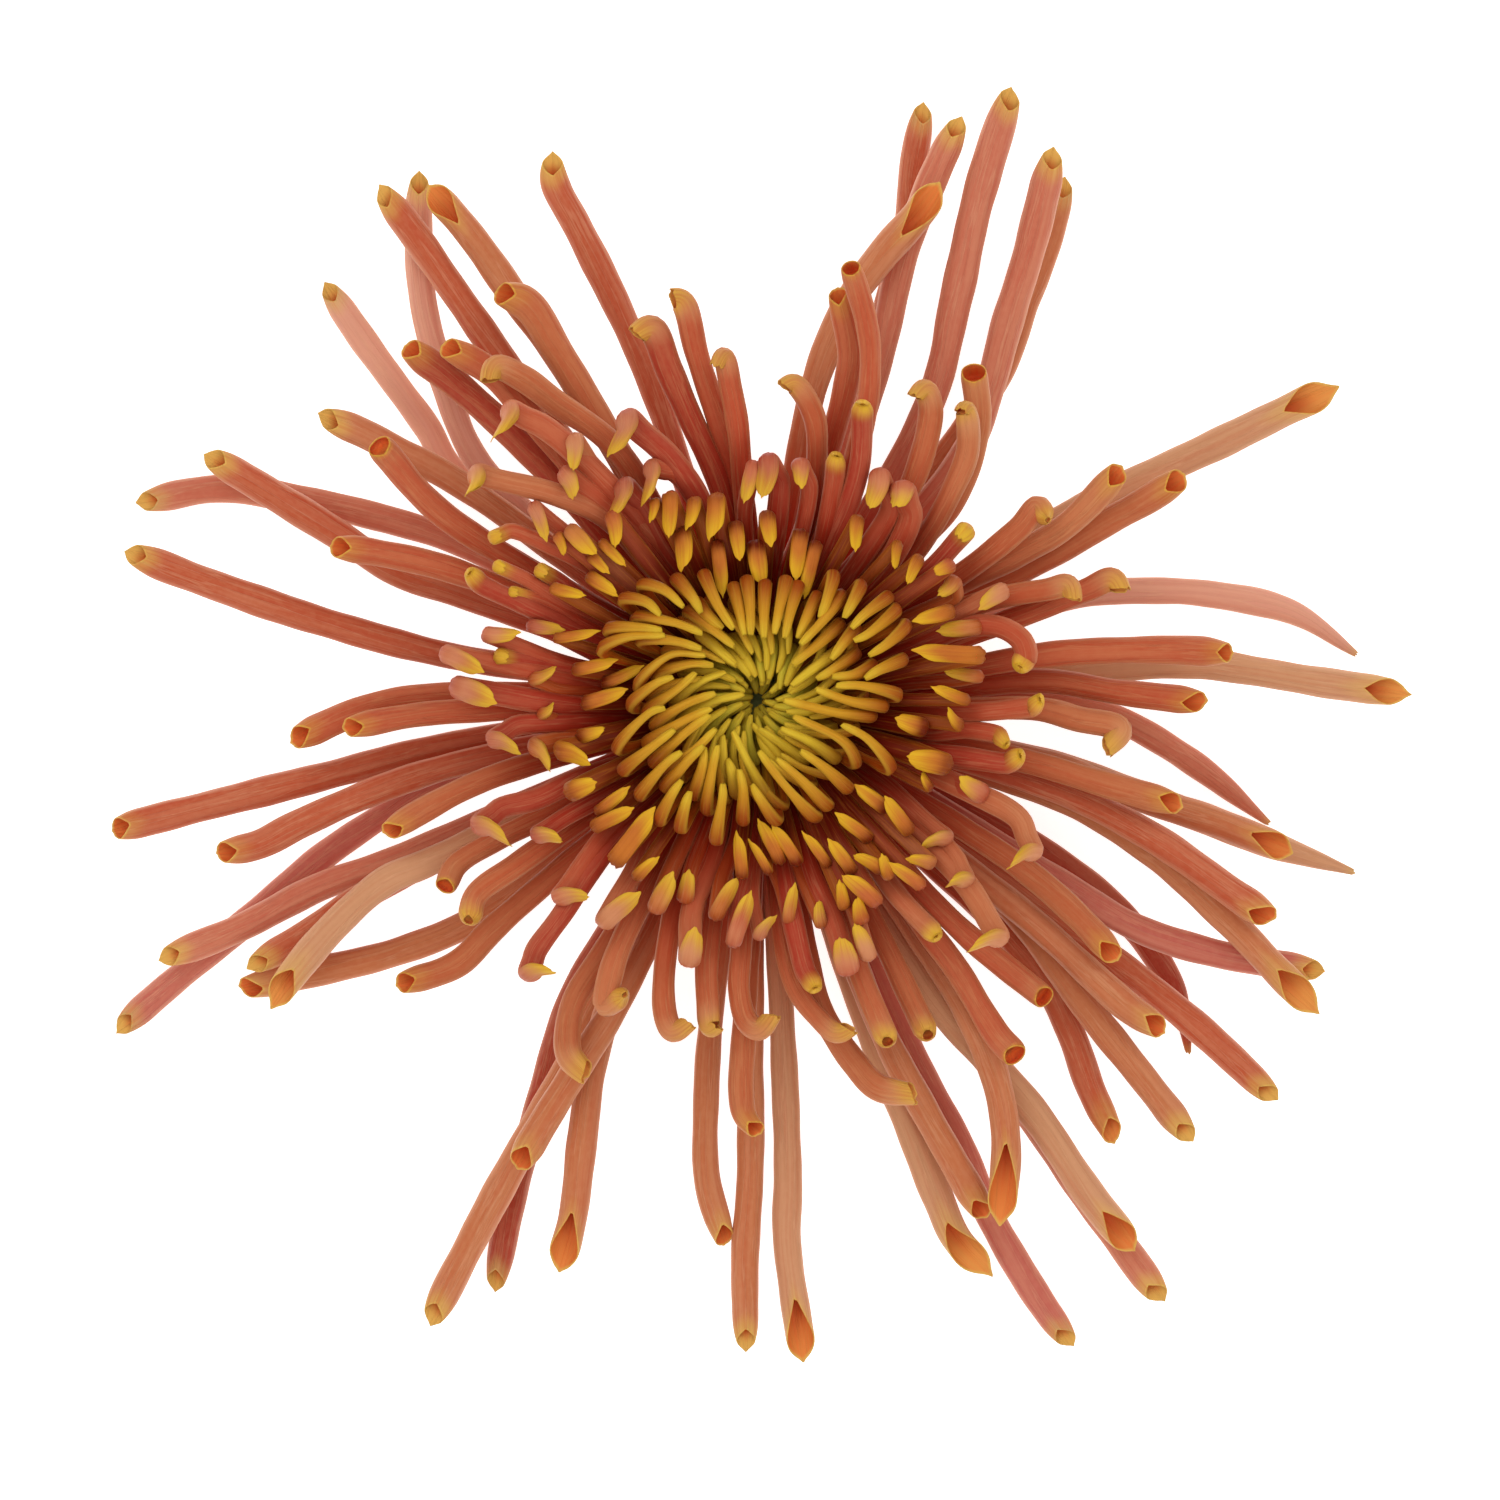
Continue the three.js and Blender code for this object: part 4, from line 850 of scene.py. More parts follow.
MIDDLE_ROWS = tuple(map(LongRow._make, (
    (Tip.MOUTH, 1, Hue.RUST, 4, 2.9, (28, 4.4, 40, 5, 47.2, 4.7)),
    (Tip.HOOK, 0, Hue.TAWNY, 5, 2.6, (22, 9.6, 29, 11, 31, 11.3, 31.6, 9.5)),
    (Tip.HOOK, 0, Hue.RUST, 4, 2.6, (20, 6, 28, 9, 33, 11, 35.5, 12, 36.6, 10.5)),
    (Tip.MOUTH, 1.8, Hue.TAWNY, 3, 3, (28, 13.7, 35, 17.8, 39, 20, 42.6, 22.3)),
    (Tip.MOUTH, 1.6, Hue.AMBER, 4, 2.9, (20, 11.5, 26, 14.5, 31, 17.5, 36.3, 23)),
    (Tip.CURLED, 0, Hue.TAWNY, 5, 2.6, (18, 11, 26, 17, 28, 19.2, 29.2, 17.6)),
    (Tip.HOOK, 1, Hue.AMBER, 5, 2.5, (15.5, 14.5, 19.5, 21, 21, 25, 20.7, 29, 20.2, 28.3)),
    (Tip.UPTURNED, 2, Hue.AMBER, 4, 2.8, (19, 19, 22, 27, 21.6, 33.3)),
    (Tip.HOOK, 0, Hue.TAWNY, 5, 2.8, (12, 16, 15.8, 22.5, 17.3, 29, 16.6, 30.9, 15.4, 29.8)),
    (Tip.UPTURNED, 1.5, Hue.RUST, 5, 2.3, (10.5, 27, 11.3, 34, 10.8, 38, 9.2, 43.5)),
    (Tip.MOUTH, 1.1, Hue.RUST, 4, 2.8, (9, 32, 9.3, 35, 8, 40.8)),
    (Tip.HOOK, 0, Hue.TAWNY, 5, 2.4, (5, 18, 6, 25, 5.6, 28.5, 3.6, 31.5, 2.2, 31)),
    (Tip.HOOK, 0, Hue.RUST, 5, 2.4, (-1.3, 20, -1.9, 27, -2.6, 31, -3.4, 34.2, -4.2, 32.8)),
    (Tip.HOOK, 0, Hue.RUST, 4, 2.6, (-1.6, 21, -3.9, 28, -6, 34.5, -7.5, 39.8, -8.9, 40.2)),
    (Tip.HOOK, 0, Hue.CRIMSON, 4, 3.1, (-3.6, 21, -6.6, 28, -8.8, 33, -10.6, 37, -12.5, 36.2)),
    (Tip.MOUTH, 1.2, Hue.TAWNY, 4, 3.3, (-14, 25, -20, 35, -23, 39.5, -25.8, 40.6)),
    (Tip.HOOK, 0, Hue.TAWNY, 5, 2.8, (-14, 25, -20.2, 29.7, -23.3, 32, -26, 33.1, -26.8, 31.3)),
    (Tip.MOUTH, 1.4, Hue.RUST, 4, 2.9, (-24, 30, -27, 33, -31.2, 35.3)),
    (Tip.MOUTH, 1.2, Hue.CRIMSON, 3, 3.1, (-22.8, 24.8, -30, 31.5, -35, 35.3)),
    (Tip.UPTURNED, 1, Hue.RUST, 4, 2.9, (-30, 17.5, -34, 21, -36.5, 24, -38, 25.7)),
    (Tip.MOUTH, 1.4, Hue.RUST, 4, 2.9, (-30, 12.8, -38, 14.7, -42.3, 15.3)),
    (Tip.MOUTH, 1.6, Hue.RUST, 3, 2.9, (-30, 0.5, -38, -0.5, -46.4, -4)),
    (Tip.MOUTH, 1.4, Hue.RUST, 4, 2.7, (-27, -1, -34, -1.5, -41, -2.8)),
    (Tip.MOUTH, 1.2, Hue.TAWNY, 4, 2.8, (-27, -7.9, -34, -11.4, -36.9, -13.2)),
    (Tip.UPTURNED, 1, Hue.TAWNY, 4, 2.5, (-21, -11.5, -26, -14, -30, -16.5, -31.3, -19)),
    (Tip.CURLED, 1, Hue.TAWNY, 5, 2.7, (-19, -13, -24, -16.5, -28, -19.5, -28.8, -22.5)),
    (Tip.MOUTH, 1.4, Hue.TAWNY, 3, 2.9, (-26, -22.5, -30, -26.4, -35.8, -28.4)),
    (Tip.HOOK, 0, Hue.TAWNY, 4, 2.8, (-14.5, -24, -18.2, -30, -18.9, -33, -18.7, -35.5, -16.7, -37.7)),
    (Tip.CURLED, 0, Hue.AMBER, 5, 2.8, (-12.5, -22, -14.5, -27, -15, -30.4, -12.8, -29.2)),
    (Tip.HOOK, 0, Hue.TAWNY, 5, 2.5, (-8.5, -22, -9.2, -31, -8.3, -33, -6.3, -31.9)),
    (Tip.HOOK, 0, Hue.TAWNY, 5, 2.6, (-5, -26, -4.9, -30, -4.6, -32.7, -3.6, -32.2)),
    (Tip.HOOK, 0, Hue.TAWNY, 5, 2.5, (-1.6, -25, -1.8, -29, -1, -32, 0.3, -32.8, 1.9, -31)),
    (Tip.MOUTH, 0.9, Hue.TAWNY, 4, 2.7, (-1.3, -33, -1.6, -39, -1.2, -41.5, 0.1, -43)),
    (Tip.HOOK, 0, Hue.TAWNY, 5, 2.2, (2.8, -25, 4, -29, 6, -31.6, 8, -33.2, 9.8, -32.5)),
    (Tip.HOOK, 0, Hue.TAWNY, 4, 2.8, (6, -30, 7.8, -33.5, 9.8, -36.3, 12, -38.6, 16.2, -39.5)),
    (Tip.CURLED, 1.3, Hue.TAWNY, 5, 2.6, (8.5, -22, 10.5, -28, 13.3, -34.6)),
    (Tip.CURLED, 1.3, Hue.TAWNY, 4, 2.6, (10.5, -20, 13.5, -26, 17.3, -34)),
    (Tip.UPTURNED, 1.2, Hue.RUST, 4, 2.8, (17, -23, 20, -27, 24, -33.5, 26.1, -35.8)),
    (Tip.UPTURNED, 1.4, Hue.RUST, 4, 2.7, (16, -18.5, 21, -23.5, 29, -30)),
    (Tip.MOUTH, 1.8, Hue.TAWNY, 4, 2.9, (27, -17.2, 33, -22.6, 35.8, -25.8)),
    (Tip.MOUTH, 1.8, Hue.TAWNY, 4, 2.9, (26, -5.9, 34, -8.2, 42.2, -10.5)),
    (Tip.HOOK, 0, Hue.AMBER, 4, 2.8, (28, -0.9, 32, -1.9, 36.2, -3, 34.5, -5.3)),
    (Tip.MOUTH, 1.8, Hue.RUST, 3, 2.8, (28, 1.9, 36, 0.8, 44.7, -0.2)),
)))

CLAW_ROWS = tuple(ClawRow(*row) for row in (
    (2.4, (-13.5, 20, -21, 27, -24.2, 28.6, -26, 25.8)),
    (1.9, (-11, 17, -16.5, 23.3, -18, 25.6, -18.3, 23.1)),
    (2, (-12, 16.5, -16, 20.3, -18.8, 22.3, -18.2, 20.3)),
    (2.3, (-15, 18, -20, 20.4, -27.5, 22.3, -28.6, 20.4)),
    (1.6, (-19, 16.5, -22, 19, -21, 16.1)),
    (1.6, (-16, 12.8, -20, 15, -24.5, 16.8, -26, 16.2), Tip.KNOB),
    (2.6, (-5.5, 19.3, -8.8, 24.2, -12.6, 27.6, -14.5, 24.3)),
    (2.2, (-9, 15, -11.5, 19.5, -13, 21, -14.5, 18)),
    (1.5, (-19, 9.5, -23, 12, -25.6, 13.2), Tip.KNOB),
    (1.6, (-17, 10, -20, 12, -21.4, 12.8), Tip.KNOB),
    (2, (-20, 8, -24, 9.8, -27.5, 11.5, -28.7, 12.8), Tip.CURLED),
    (2, (6, 14, 7, 18, 7.7, 22, 7.9, 24.5), Tip.CURLED),
    (2.2, (7.5, 16, 9.3, 20, 10.3, 24, 10.5, 29.6), Tip.CURLED),
    (1.8, (4.3, 16, 5.2, 21.4, 4.4, 23.2, 4.3, 21.4)),
    (1.6, (-1, 15, -1.2, 19, -0.4, 23.1, -1.2, 19.9)),
    (2.2, (2, 18, 2.2, 22, 1.3, 23.5, 0.5, 20.4)),
    (2.1, (-5, 18.6, -8.3, 22.7, -10.2, 23, -11.2, 19.4)),
    (2.2, (11, 15, 13.4, 19.5, 12.3, 22, 11.3, 19.3)),
    (2.5, (13.3, 14, 15.3, 18.5, 14.6, 20.6, 13.9, 19.4)),
    (2, (14, 10.5, 17.5, 13.2, 20.6, 16.6), Tip.KNOB),
    (1.8, (15, 8, 19.8, 10.4, 19.6, 11.5, 18.3, 10.6)),
    (1.3, (-17, 7.5, -21, 9.8, -24.2, 10.7), Tip.KNOB),
    (1.7, (-19, 3.6, -23, 5, -26.6, 6.4, -23.9, 6.5)),
    (1.4, (-15, 4, -20, 6.4, -22.3, 7.3, -19.5, 7)),
    (1.7, (-18, 3, -22, 3.8, -25.4, 4.3), Tip.KNOB),
    (2, (-20, 2.4, -26, 3.6, -30.6, 4.5, -27.5, 2.9)),
    (2.4, (-20, -0.4, -26, 0.6, -29.4, 1.2, -26.2, -0.1)),
    (1.5, (-16, 1, -20, 1.2, -22, 2, -20.2, 3)),
    (1.5, (-16, -3, -19, -2.6, -21.2, -1.5, -20.3, -0.6)),
    (2, (-19, -2.3, -24, -2.6, -26, -3.8, -23.8, -5.1)),
    (2, (-16, -3.8, -20, -4.2, -21.8, -4.6, -20.6, -6.7)),
    (1.8, (17, 7, 22.5, 10, 24.2, 10.7, 22.3, 9.3)),
    (1.7, (14, 5, 19, 6.6, 21.6, 7.2, 18.2, 6.9)),
    (2.3, (16, 5.5, 21, 7.3, 24.3, 7.2, 26.3, 5.9, 26.8, 4.4, 26, 3), Tip.CURLED),
    (1.4, (15, 1.6, 20, 2, 21.9, 2.3, 18.9, 2.8)),
    (2, (16, -1, 22, -1.2, 27.5, -0.7, 28.3, 0.2), Tip.CURLED),
    (1.8, (17, -3.3, 21, -3, 24, -3.5, 24.9, -4.6), Tip.CURLED),
    (2.2, (16, -5, 21, -5.8, 25, -6.3, 26.4, -5.4), Tip.CURLED),
    (2.1, (15, -6, 20, -8.4, 22, -9.2, 20.4, -8)),
    (2.3, (-18, -8, -22, -9.9, -25.5, -10.8, -27.3, -12.3, -24.5, -14.1)),
    (1.9, (-15, -9.4, -19, -11.6, -21.6, -13.3, -19.6, -13.8)),
    (2.1, (-12.5, -11, -15.5, -14, -19.4, -19.4, -17, -19.5)),
    (2.2, (-15, -15, -19.5, -21.5, -22, -25, -22.6, -26.9, -20.4, -26.9)),
    (2.1, (-10.5, -13.5, -12.5, -17.5, -15, -21.8, -11.9, -19.3)),
    (1.9, (-7, -13.5, -9, -18, -9.9, -20.4, -8.4, -17.5)),
    (1.8, (-5, -13, -6.5, -17, -7.1, -19.5, -6.8, -17.3)),
    (2.3, (-4.5, -16, -6.5, -21, -6.7, -25.5, -6.1, -23)),
    (1.7, (-2, -13.5, -3.5, -18, -4, -21.2, -2.1, -17.9)),
    (1.7, (-0.5, -15, -1.8, -20, -2.3, -23.9, -0.7, -19.3)),
    (1.5, (-0.2, -15, -0.4, -20, 0.2, -23.2, 1.6, -21.7)),
    (1.3, (1, -15, 2.4, -19, 3.1, -21.7, 3.7, -18.6)),
    (1.4, (3.5, -15, 5.2, -19.5, 6.3, -22.1, 6.1, -20.3)),
    (2.4, (5.5, -17, 7.6, -22, 8.9, -26.3, 8.4, -23.9)),
    (1.7, (6.5, -15, 9.5, -20.5, 11, -25.2, 9.9, -22.5)),
    (2.2, (3, -19, 3.8, -23, 4.8, -27, 5.9, -28.9), Tip.CURLED),
    (1.8, (13, -8.5, 16.5, -11.8, 18.6, -13.6, 16.4, -14.5)),
    (2, (14, -10, 19.8, -15.8, 20.6, -17.6, 18.9, -18.3)),
    (2.3, (20, -8.6, 26, -11.8, 27.3, -14.8, 25, -16.4)),
    (2.3, (17, -14.5, 21, -18.6, 23.9, -23.4, 21, -24.7)),
    (2.1, (11.5, -16, 14, -19.5, 18, -23.7), Tip.CURLED),
))

# Each inner claw: width, shoulder x, y, tip x, y. Its tube comes straight from the eye, and has
# its first point STALK_SHARE of the way to the shoulder.
INNER_SHOULDERS = (
    (1.8, -14.2, 18, -14, 15.5), (1.8, -18.3, 16.6, -16.3, 14.5), (1.2, -19.7, 16.1, -19.2, 14.7),
    (1.1, -15.3, 15.5, -13.3, 13.5), (1.2, -16.3, 14.1, -15, 12.8), (1.4, -16.4, 12.1, -14, 10.6),
    (1.2, -10.1, 19.5, -10.5, 18), (1.7, -8.6, 20, -8.8, 16.4), (1.5, -6.2, 19.5, -6.8, 17.2),
    (1.9, -4, 19.7, -4.4, 16.1), (1.9, -7.3, 16.2, -7.3, 13.1), (1.5, -2.1, 17.1, -1.7, 14.1),
    (1.7, 1, 18, 1.4, 15.6), (1.4, -3.9, 15.3, -3.4, 10.5), (1.9, -0.1, 15, 0.4, 11.7),
    (1.6, 4.3, 16.3, 3.8, 12.1), (1.4, 5.8, 15.2, 4.6, 10.3), (1.5, 9.9, 17.7, 9.8, 15.1),
    (1.2, 13.9, 15.3, 13.7, 13.3), (1.4, 15.9, 13.8, 15.1, 11.8), (1.7, 18.9, 13.2, 17.9, 12.8),
    (1.3, -20, 11, -17.4, 10.4), (1.1, -19.8, 6.1, -15.9, 6.7), (1.4, -17.8, 3, -14.2, 3.8),
    (1.4, -14.9, 1.7, -11.6, 3.2), (1.5, -16.9, -0.3, -13.1, 0.9), (1.5, -17.3, -3.6, -15.4, -3.1),
    (2.1, -19.2, -5, -16.9, -6.2), (2.1, -18.2, -9, -16.3, -8.3), (1.3, -15.6, -11, -12.9, -8.9),
    (1.5, -15.9, -12.5, -12.5, -10.9), (1.5, 19, 8.7, 15.8, 7.9), (1.8, 21.9, 4.4, 15.7, 4.8),
    (1.3, 20.6, 0, 17.7, 1.2), (2, 16.1, -2.7, 14.1, -2), (1.4, 19.9, -2.5, 19.1, -1.2),
    (2.4, 18.3, -6.3, 15.2, -5.8), (1.2, 17, -8.6, 16.5, -7.5), (1.6, 14.9, -12.8, 12.8, -9.9),
    (1.5, 12.5, -10.6, 10, -8.7), (1.3, -11.8, -17.4, -10.1, -15.8), (1.9, -13.9, -15.8, -10.2, -11),
    (1.3, -1.5, -17.3, -1.9, -13.4), (1, 1.1, -17, -0.6, -14.1), (1.4, 2.2, -15.8, 0.3, -12.1),
    (1.4, 3.9, -15.9, 1.7, -12.6), (1.1, 6.9, -16.2, 4.8, -13.3), (1.4, 9.3, -16.8, 7.3, -14.1),
    (1.5, 12.1, -16.6, 9.9, -15.5), (1.8, 11.6, -19.8, 8.8, -17.5), (1.3, 8.6, -20.3, 8.3, -18.3),
    (1.6, 10.3, -21.7, 10, -19.9), (1.4, 10.9, -13.6, 8, -11.5), (1.4, 13, -17.3, 12.5, -15.7),
    (1.4, 16.1, -18.3, 13.4, -16.4), (1.5, 17.1, -16.1, 15.2, -15.8),
)
STALK_SHARE = 0.7
INNER_CLAW_ROWS = tuple(ClawRow(width, (STALK_SHARE * x, STALK_SHARE * y, x, y, tip_x, tip_y))
                        for width, x, y, tip_x, tip_y in INNER_SHOULDERS)

# Each centre floret: x, y of its shoulder, its middle and its tip.
CENTRE_ROWS = (
    (-11.4, 11.4, -9.2, 10.9, -7.2, 9.1), (-13.3, 10, -11, 9.7, -9.5, 8.3),
    (-14.8, 7, -12, 7.2, -9.3, 6.9), (-15.4, 5, -13, 6.2, -9, 6.4), (-12, 8.2, -8, 7.6, -5.3, 6.5),
    (-11.5, 6, -8, 5.8, -5.4, 5), (-11.8, 1.4, -8.5, 4.5, -5, 4.4), (-10, 2.5, -6.5, 3.6, -4.2, 3.4),
    (-12.5, -0.5, -9.9, 1.7, -8.2, 2.3), (-11, -1.2, -7.5, 1.4, -6, 2.8),
    (-8.3, -0.3, -5.2, 2, -3, 2.8), (-10.2, -2.5, -7, -0.4, -4, 0.7), (-8, -2.5, -5, -0.4, -1.2, 0.6),
    (-13.9, -4.8, -10.5, -1.2, -9, -0.8), (-11, -4.4, -7.5, -2.2, -4.4, -0.8),
    (-13.3, -7, -9.8, -4.2, -8.1, -2.9), (-10.3, -6.3, -7, -3.2, -4.6, -1.4),
    (-11.7, -9.5, -9, -6.3, -7.4, -5.1), (-9, -7.2, -6.2, -5, -4, -2.8),
    (-9.7, -12, -8.4, -9.3, -7.4, -7.9), (-9.2, -8.7, -7, -6.2, -5.2, -4.4),
    (-7.6, -12.8, -7, -10, -6.6, -9), (-6.2, -9.5, -5.4, -6.5, -5.2, -4.6),
    (-5, -11, -4.5, -7.2, -3.9, -4.4), (-4.1, -14, -3.4, -9.5, -3.4, -8.2),
    (-3.2, -8, -3.4, -5.7, -3.4, -3.4), (-2, -9.4, -2.5, -7.2, -3, -5.8),
    (-1.4, -12, -1.4, -8.8, -1.8, -6.8), (1.9, -12, 0.2, -9.7, -0.6, -8.3),
    (1, -9.5, -0.9, -6.2, -2.5, -3), (5.8, -11.7, 2.5, -8.2, 0.1, -5), (7, -10.6, 4.2, -7.8, 1.8, -5.8),
    (9, -8.8, 6.5, -6.6, 4.2, -5), (9.8, -6.3, 8.8, -4.3, 3.5, -1.6), (13.3, -6.8, 11, -3.9, 8.3, -2.4),
    (7.8, -5.8, 5, -4, 2.2, -2.8), (11.4, -1.6, 8.5, -1.4, 2.5, 0), (12.6, -0.6, 9.5, -0.2, 5.7, 1.1),
    (14, 0.5, 10.3, 1.4, 7.7, 1.4), (14.5, 4, 12, 2.9, 10.6, 2), (11.5, 3.4, 9.5, 2.4, 7.3, 2.3),
    (14.8, 7.4, 13, 5.6, 11, 4.3), (13.9, 9, 11, 6.5, 9.5, 5.8), (13, 10.2, 10.5, 8.3, 9.3, 7),
    (10.3, 11.4, 9.4, 9.5, 8.6, 8), (7.6, 12.4, 6.9, 9.8, 6.2, 8), (6, 10.3, 5, 8.3, 4, 6),
    (8.4, 10.4, 6.5, 7.8, 4.2, 5.4), (8.2, 7.5, 5.7, 5.2, 3.4, 3.4), (9.8, 7.2, 8.4, 5.4, 7.3, 3.9),
    (9.8, 4.6, 7.3, 2.8, 5.8, 2), (8.2, 4.9, 6, 3.4, 3.3, 1.3), (4.1, 11.4, 3.4, 9, 2.7, 6),
    (2.9, 11.9, 2.2, 9, 1.7, 6.4), (0.8, 11.5, 0.7, 9, 0.7, 6), (-1, 11.9, -0.7, 9.2, -0.6, 6.3),
    (-2.3, 11.2, -1.8, 9, -1.2, 6.3), (-5.3, 12.5, -3.8, 9.2, -2.3, 6.9), (-8, 12, -6.3, 10, -5.5, 8.5),
    (-6, 9.7, -4.8, 8.3, -3.3, 7), (-6.8, 8.8, -4, 6.7, -2.2, 5.2), (-5.6, 6.5, -3.6, 4.8, -2, 3.4),
    (4.8, -6, 2.2, -4.2, 0, -2.8), (3, -6.4, 1.2, -4.3, -0.6, -2.3), (-2.4, 6.2, -1, 4, 0, 2.2),
    (-3.5, 5.6, -1.6, 3.5, -0.6, 2.2), (-4.5, 3.6, -2.5, 2.5, -1.2, 1.8), (0.5, 6, 0.3, 3.6, 0.6, 1.6),
    (1.9, 6.2, 1.4, 3.5, 1.2, 1.9), (3.5, 5.2, 2.6, 2.8, 2.2, 0.9), (5, 5.4, 3.7, 3.4, 2.8, 1.3),
    (6, 3.4, 4.2, 1.9, 3.1, 0.6), (5, -0.3, 2.6, -0.6, 0.6, -0.1), (5, -1.5, 2.6, -1.5, 0.8, -0.9),
    (-3.4, 0.8, -2.2, 1.2, -0.3, 0.8), (-4, -0.6, -2.2, 0.2, -0.3, 0.3),
    (-3.9, -1.8, -2.2, -0.9, -0.6, -0.2), (-2.8, -3, -1.6, -1.8, -0.5, -0.8),
    (-1.5, -4.6, -1.2, -3, -0.9, -1.6), (1.8, -3.4, 0.6, -1.9, -0.3, -0.8),
)

# Levels of the florets: heights of the crests, and where each group is rooted (radius, height).
LEVEL_CREST = (7.6, 10.7, 13.8, 16.9, 20.0, 23.1)
OUTER_ROOTS = ((11.6, 8.7), (11.6, 10.3), (11.3, 11.9), (10.7, 13.4))
MIDDLE_ROOT = (9.3, 14.9)
CLAW_ROOT = (7.7, 16.3)
INNER_CLAW_ROOT = (5.9, 17.5)
CENTRE_ROOT = (3.4, 18.4)

# How far out the short florets reach each height: distances from the axis, then heights.
CLAW_RISE = ((7.7, 13.0, 19.0, 25.0, 31.0), (16.3, 19.6, 23.0, 25.2, 26.2))
INNER_CLAW_RISE = ((5.9, 10.0, 14.0, 18.0, 22.0), (17.5, 20.6, 23.6, 25.6, 26.6))
CENTRE_RISE = ((3.4, 6.0, 9.0, 13.0, 16.0), (18.4, 22.4, 25.0, 27.0, 27.6))

# Long florets rise to their crest at a reach, and droop by so much over a further one.
CREST_REACH, DROOP_REACH, DROOP, DROOP_POWER = 30.0, 36.0, 5.4, 1.5
ROOT_SPACING = math.radians(8.0)
SPREAD_ROUNDS = 60

# How much the end of a long floret is pressed flat, and over what length.
PRESSED = {Tip.CLOSED: (0.62, 5.0), Tip.SPOON: (0.3, 7.0), Tip.UPTURNED: (0.35, 1.8),
           Tip.CURLED: (0.35, 1.8)}


def spread_bearings(bearings: list[float], spacing: float) -> list[float]:
    """Moves bearings apart until no neighbours are closer than a spacing.

    Args:
        bearings: Bearings of the florets, in radians.
        spacing: The least angle between two.

    Returns:
        The new bearings, in the same order.
    """
    order = sorted(range(len(bearings)), key=bearings.__getitem__)
    spread = [bearings[i] for i in order]
    for _ in range(SPREAD_ROUNDS):
        for i in range(len(spread)):
            after = (i + 1) % len(spread)
            lack = spacing - (spread[after] + (FULL_TURN if after == 0 else 0.0) - spread[i])
            if lack > 0:
                spread[i] -= lack / 2
                spread[after] += lack / 2
    placed = dict(zip(order, spread))
    return [placed[i] for i in range(len(bearings))]


def plan_points(values: tuple[float, ...]) -> np.ndarray:
    """Splits a flat row of x, y values into points."""
    return np.array(values, float).reshape(-1, 2)


def bearing_of(values: tuple[float, ...], place: int = 0) -> float:
    """Bearing of one point of a flat row of x, y values."""
    return math.atan2(values[2 * place + 1], values[2 * place])


def root_point(root: tuple[float, float], bearing: float) -> np.ndarray:
    """Point on the dome at the radius and height of a group's roots."""
    return np.array([root[0] * math.cos(bearing), root[0] * math.sin(bearing), root[1]])


def unit(vector: np.ndarray) -> np.ndarray:
    """A vector's direction."""
    return vector / max(float(np.linalg.norm(vector)), 1e-6)


def curled_end(end: np.ndarray, out: np.ndarray, over: np.ndarray, width: float,
               rise: float, tongue: float) -> list[np.ndarray]:
    """Turns the end of a centre line up and back over itself.

    Args:
        end: Where the line would have ended.
        out: Level direction in which it arrives.
        over: Level direction in which the tongue lies.
        width: Width of the floret.
        rise: Height of the tongue over the line, in widths.
        tongue: How far it reaches back from the end.

    Returns:
        The knots that replace the end.
    """
    up = np.array([0.0, 0.0, width])
    return [end - 0.5 * width * out, end + 0.14 * width * out + 0.42 * up,
            end + 0.3 * width * over + 0.9 * rise * up, end + tongue * over + rise * up]


def turns_left(plan: np.ndarray) -> bool:
    """Tells whether the second half of a line bends to the left, seen from above."""
    (x, y), (end_x, end_y) = plan[len(plan) * 3 // 4] - plan[len(plan) // 2], plan[-1] - plan[-12]
    return bool(x * end_y - y * end_x > 0)


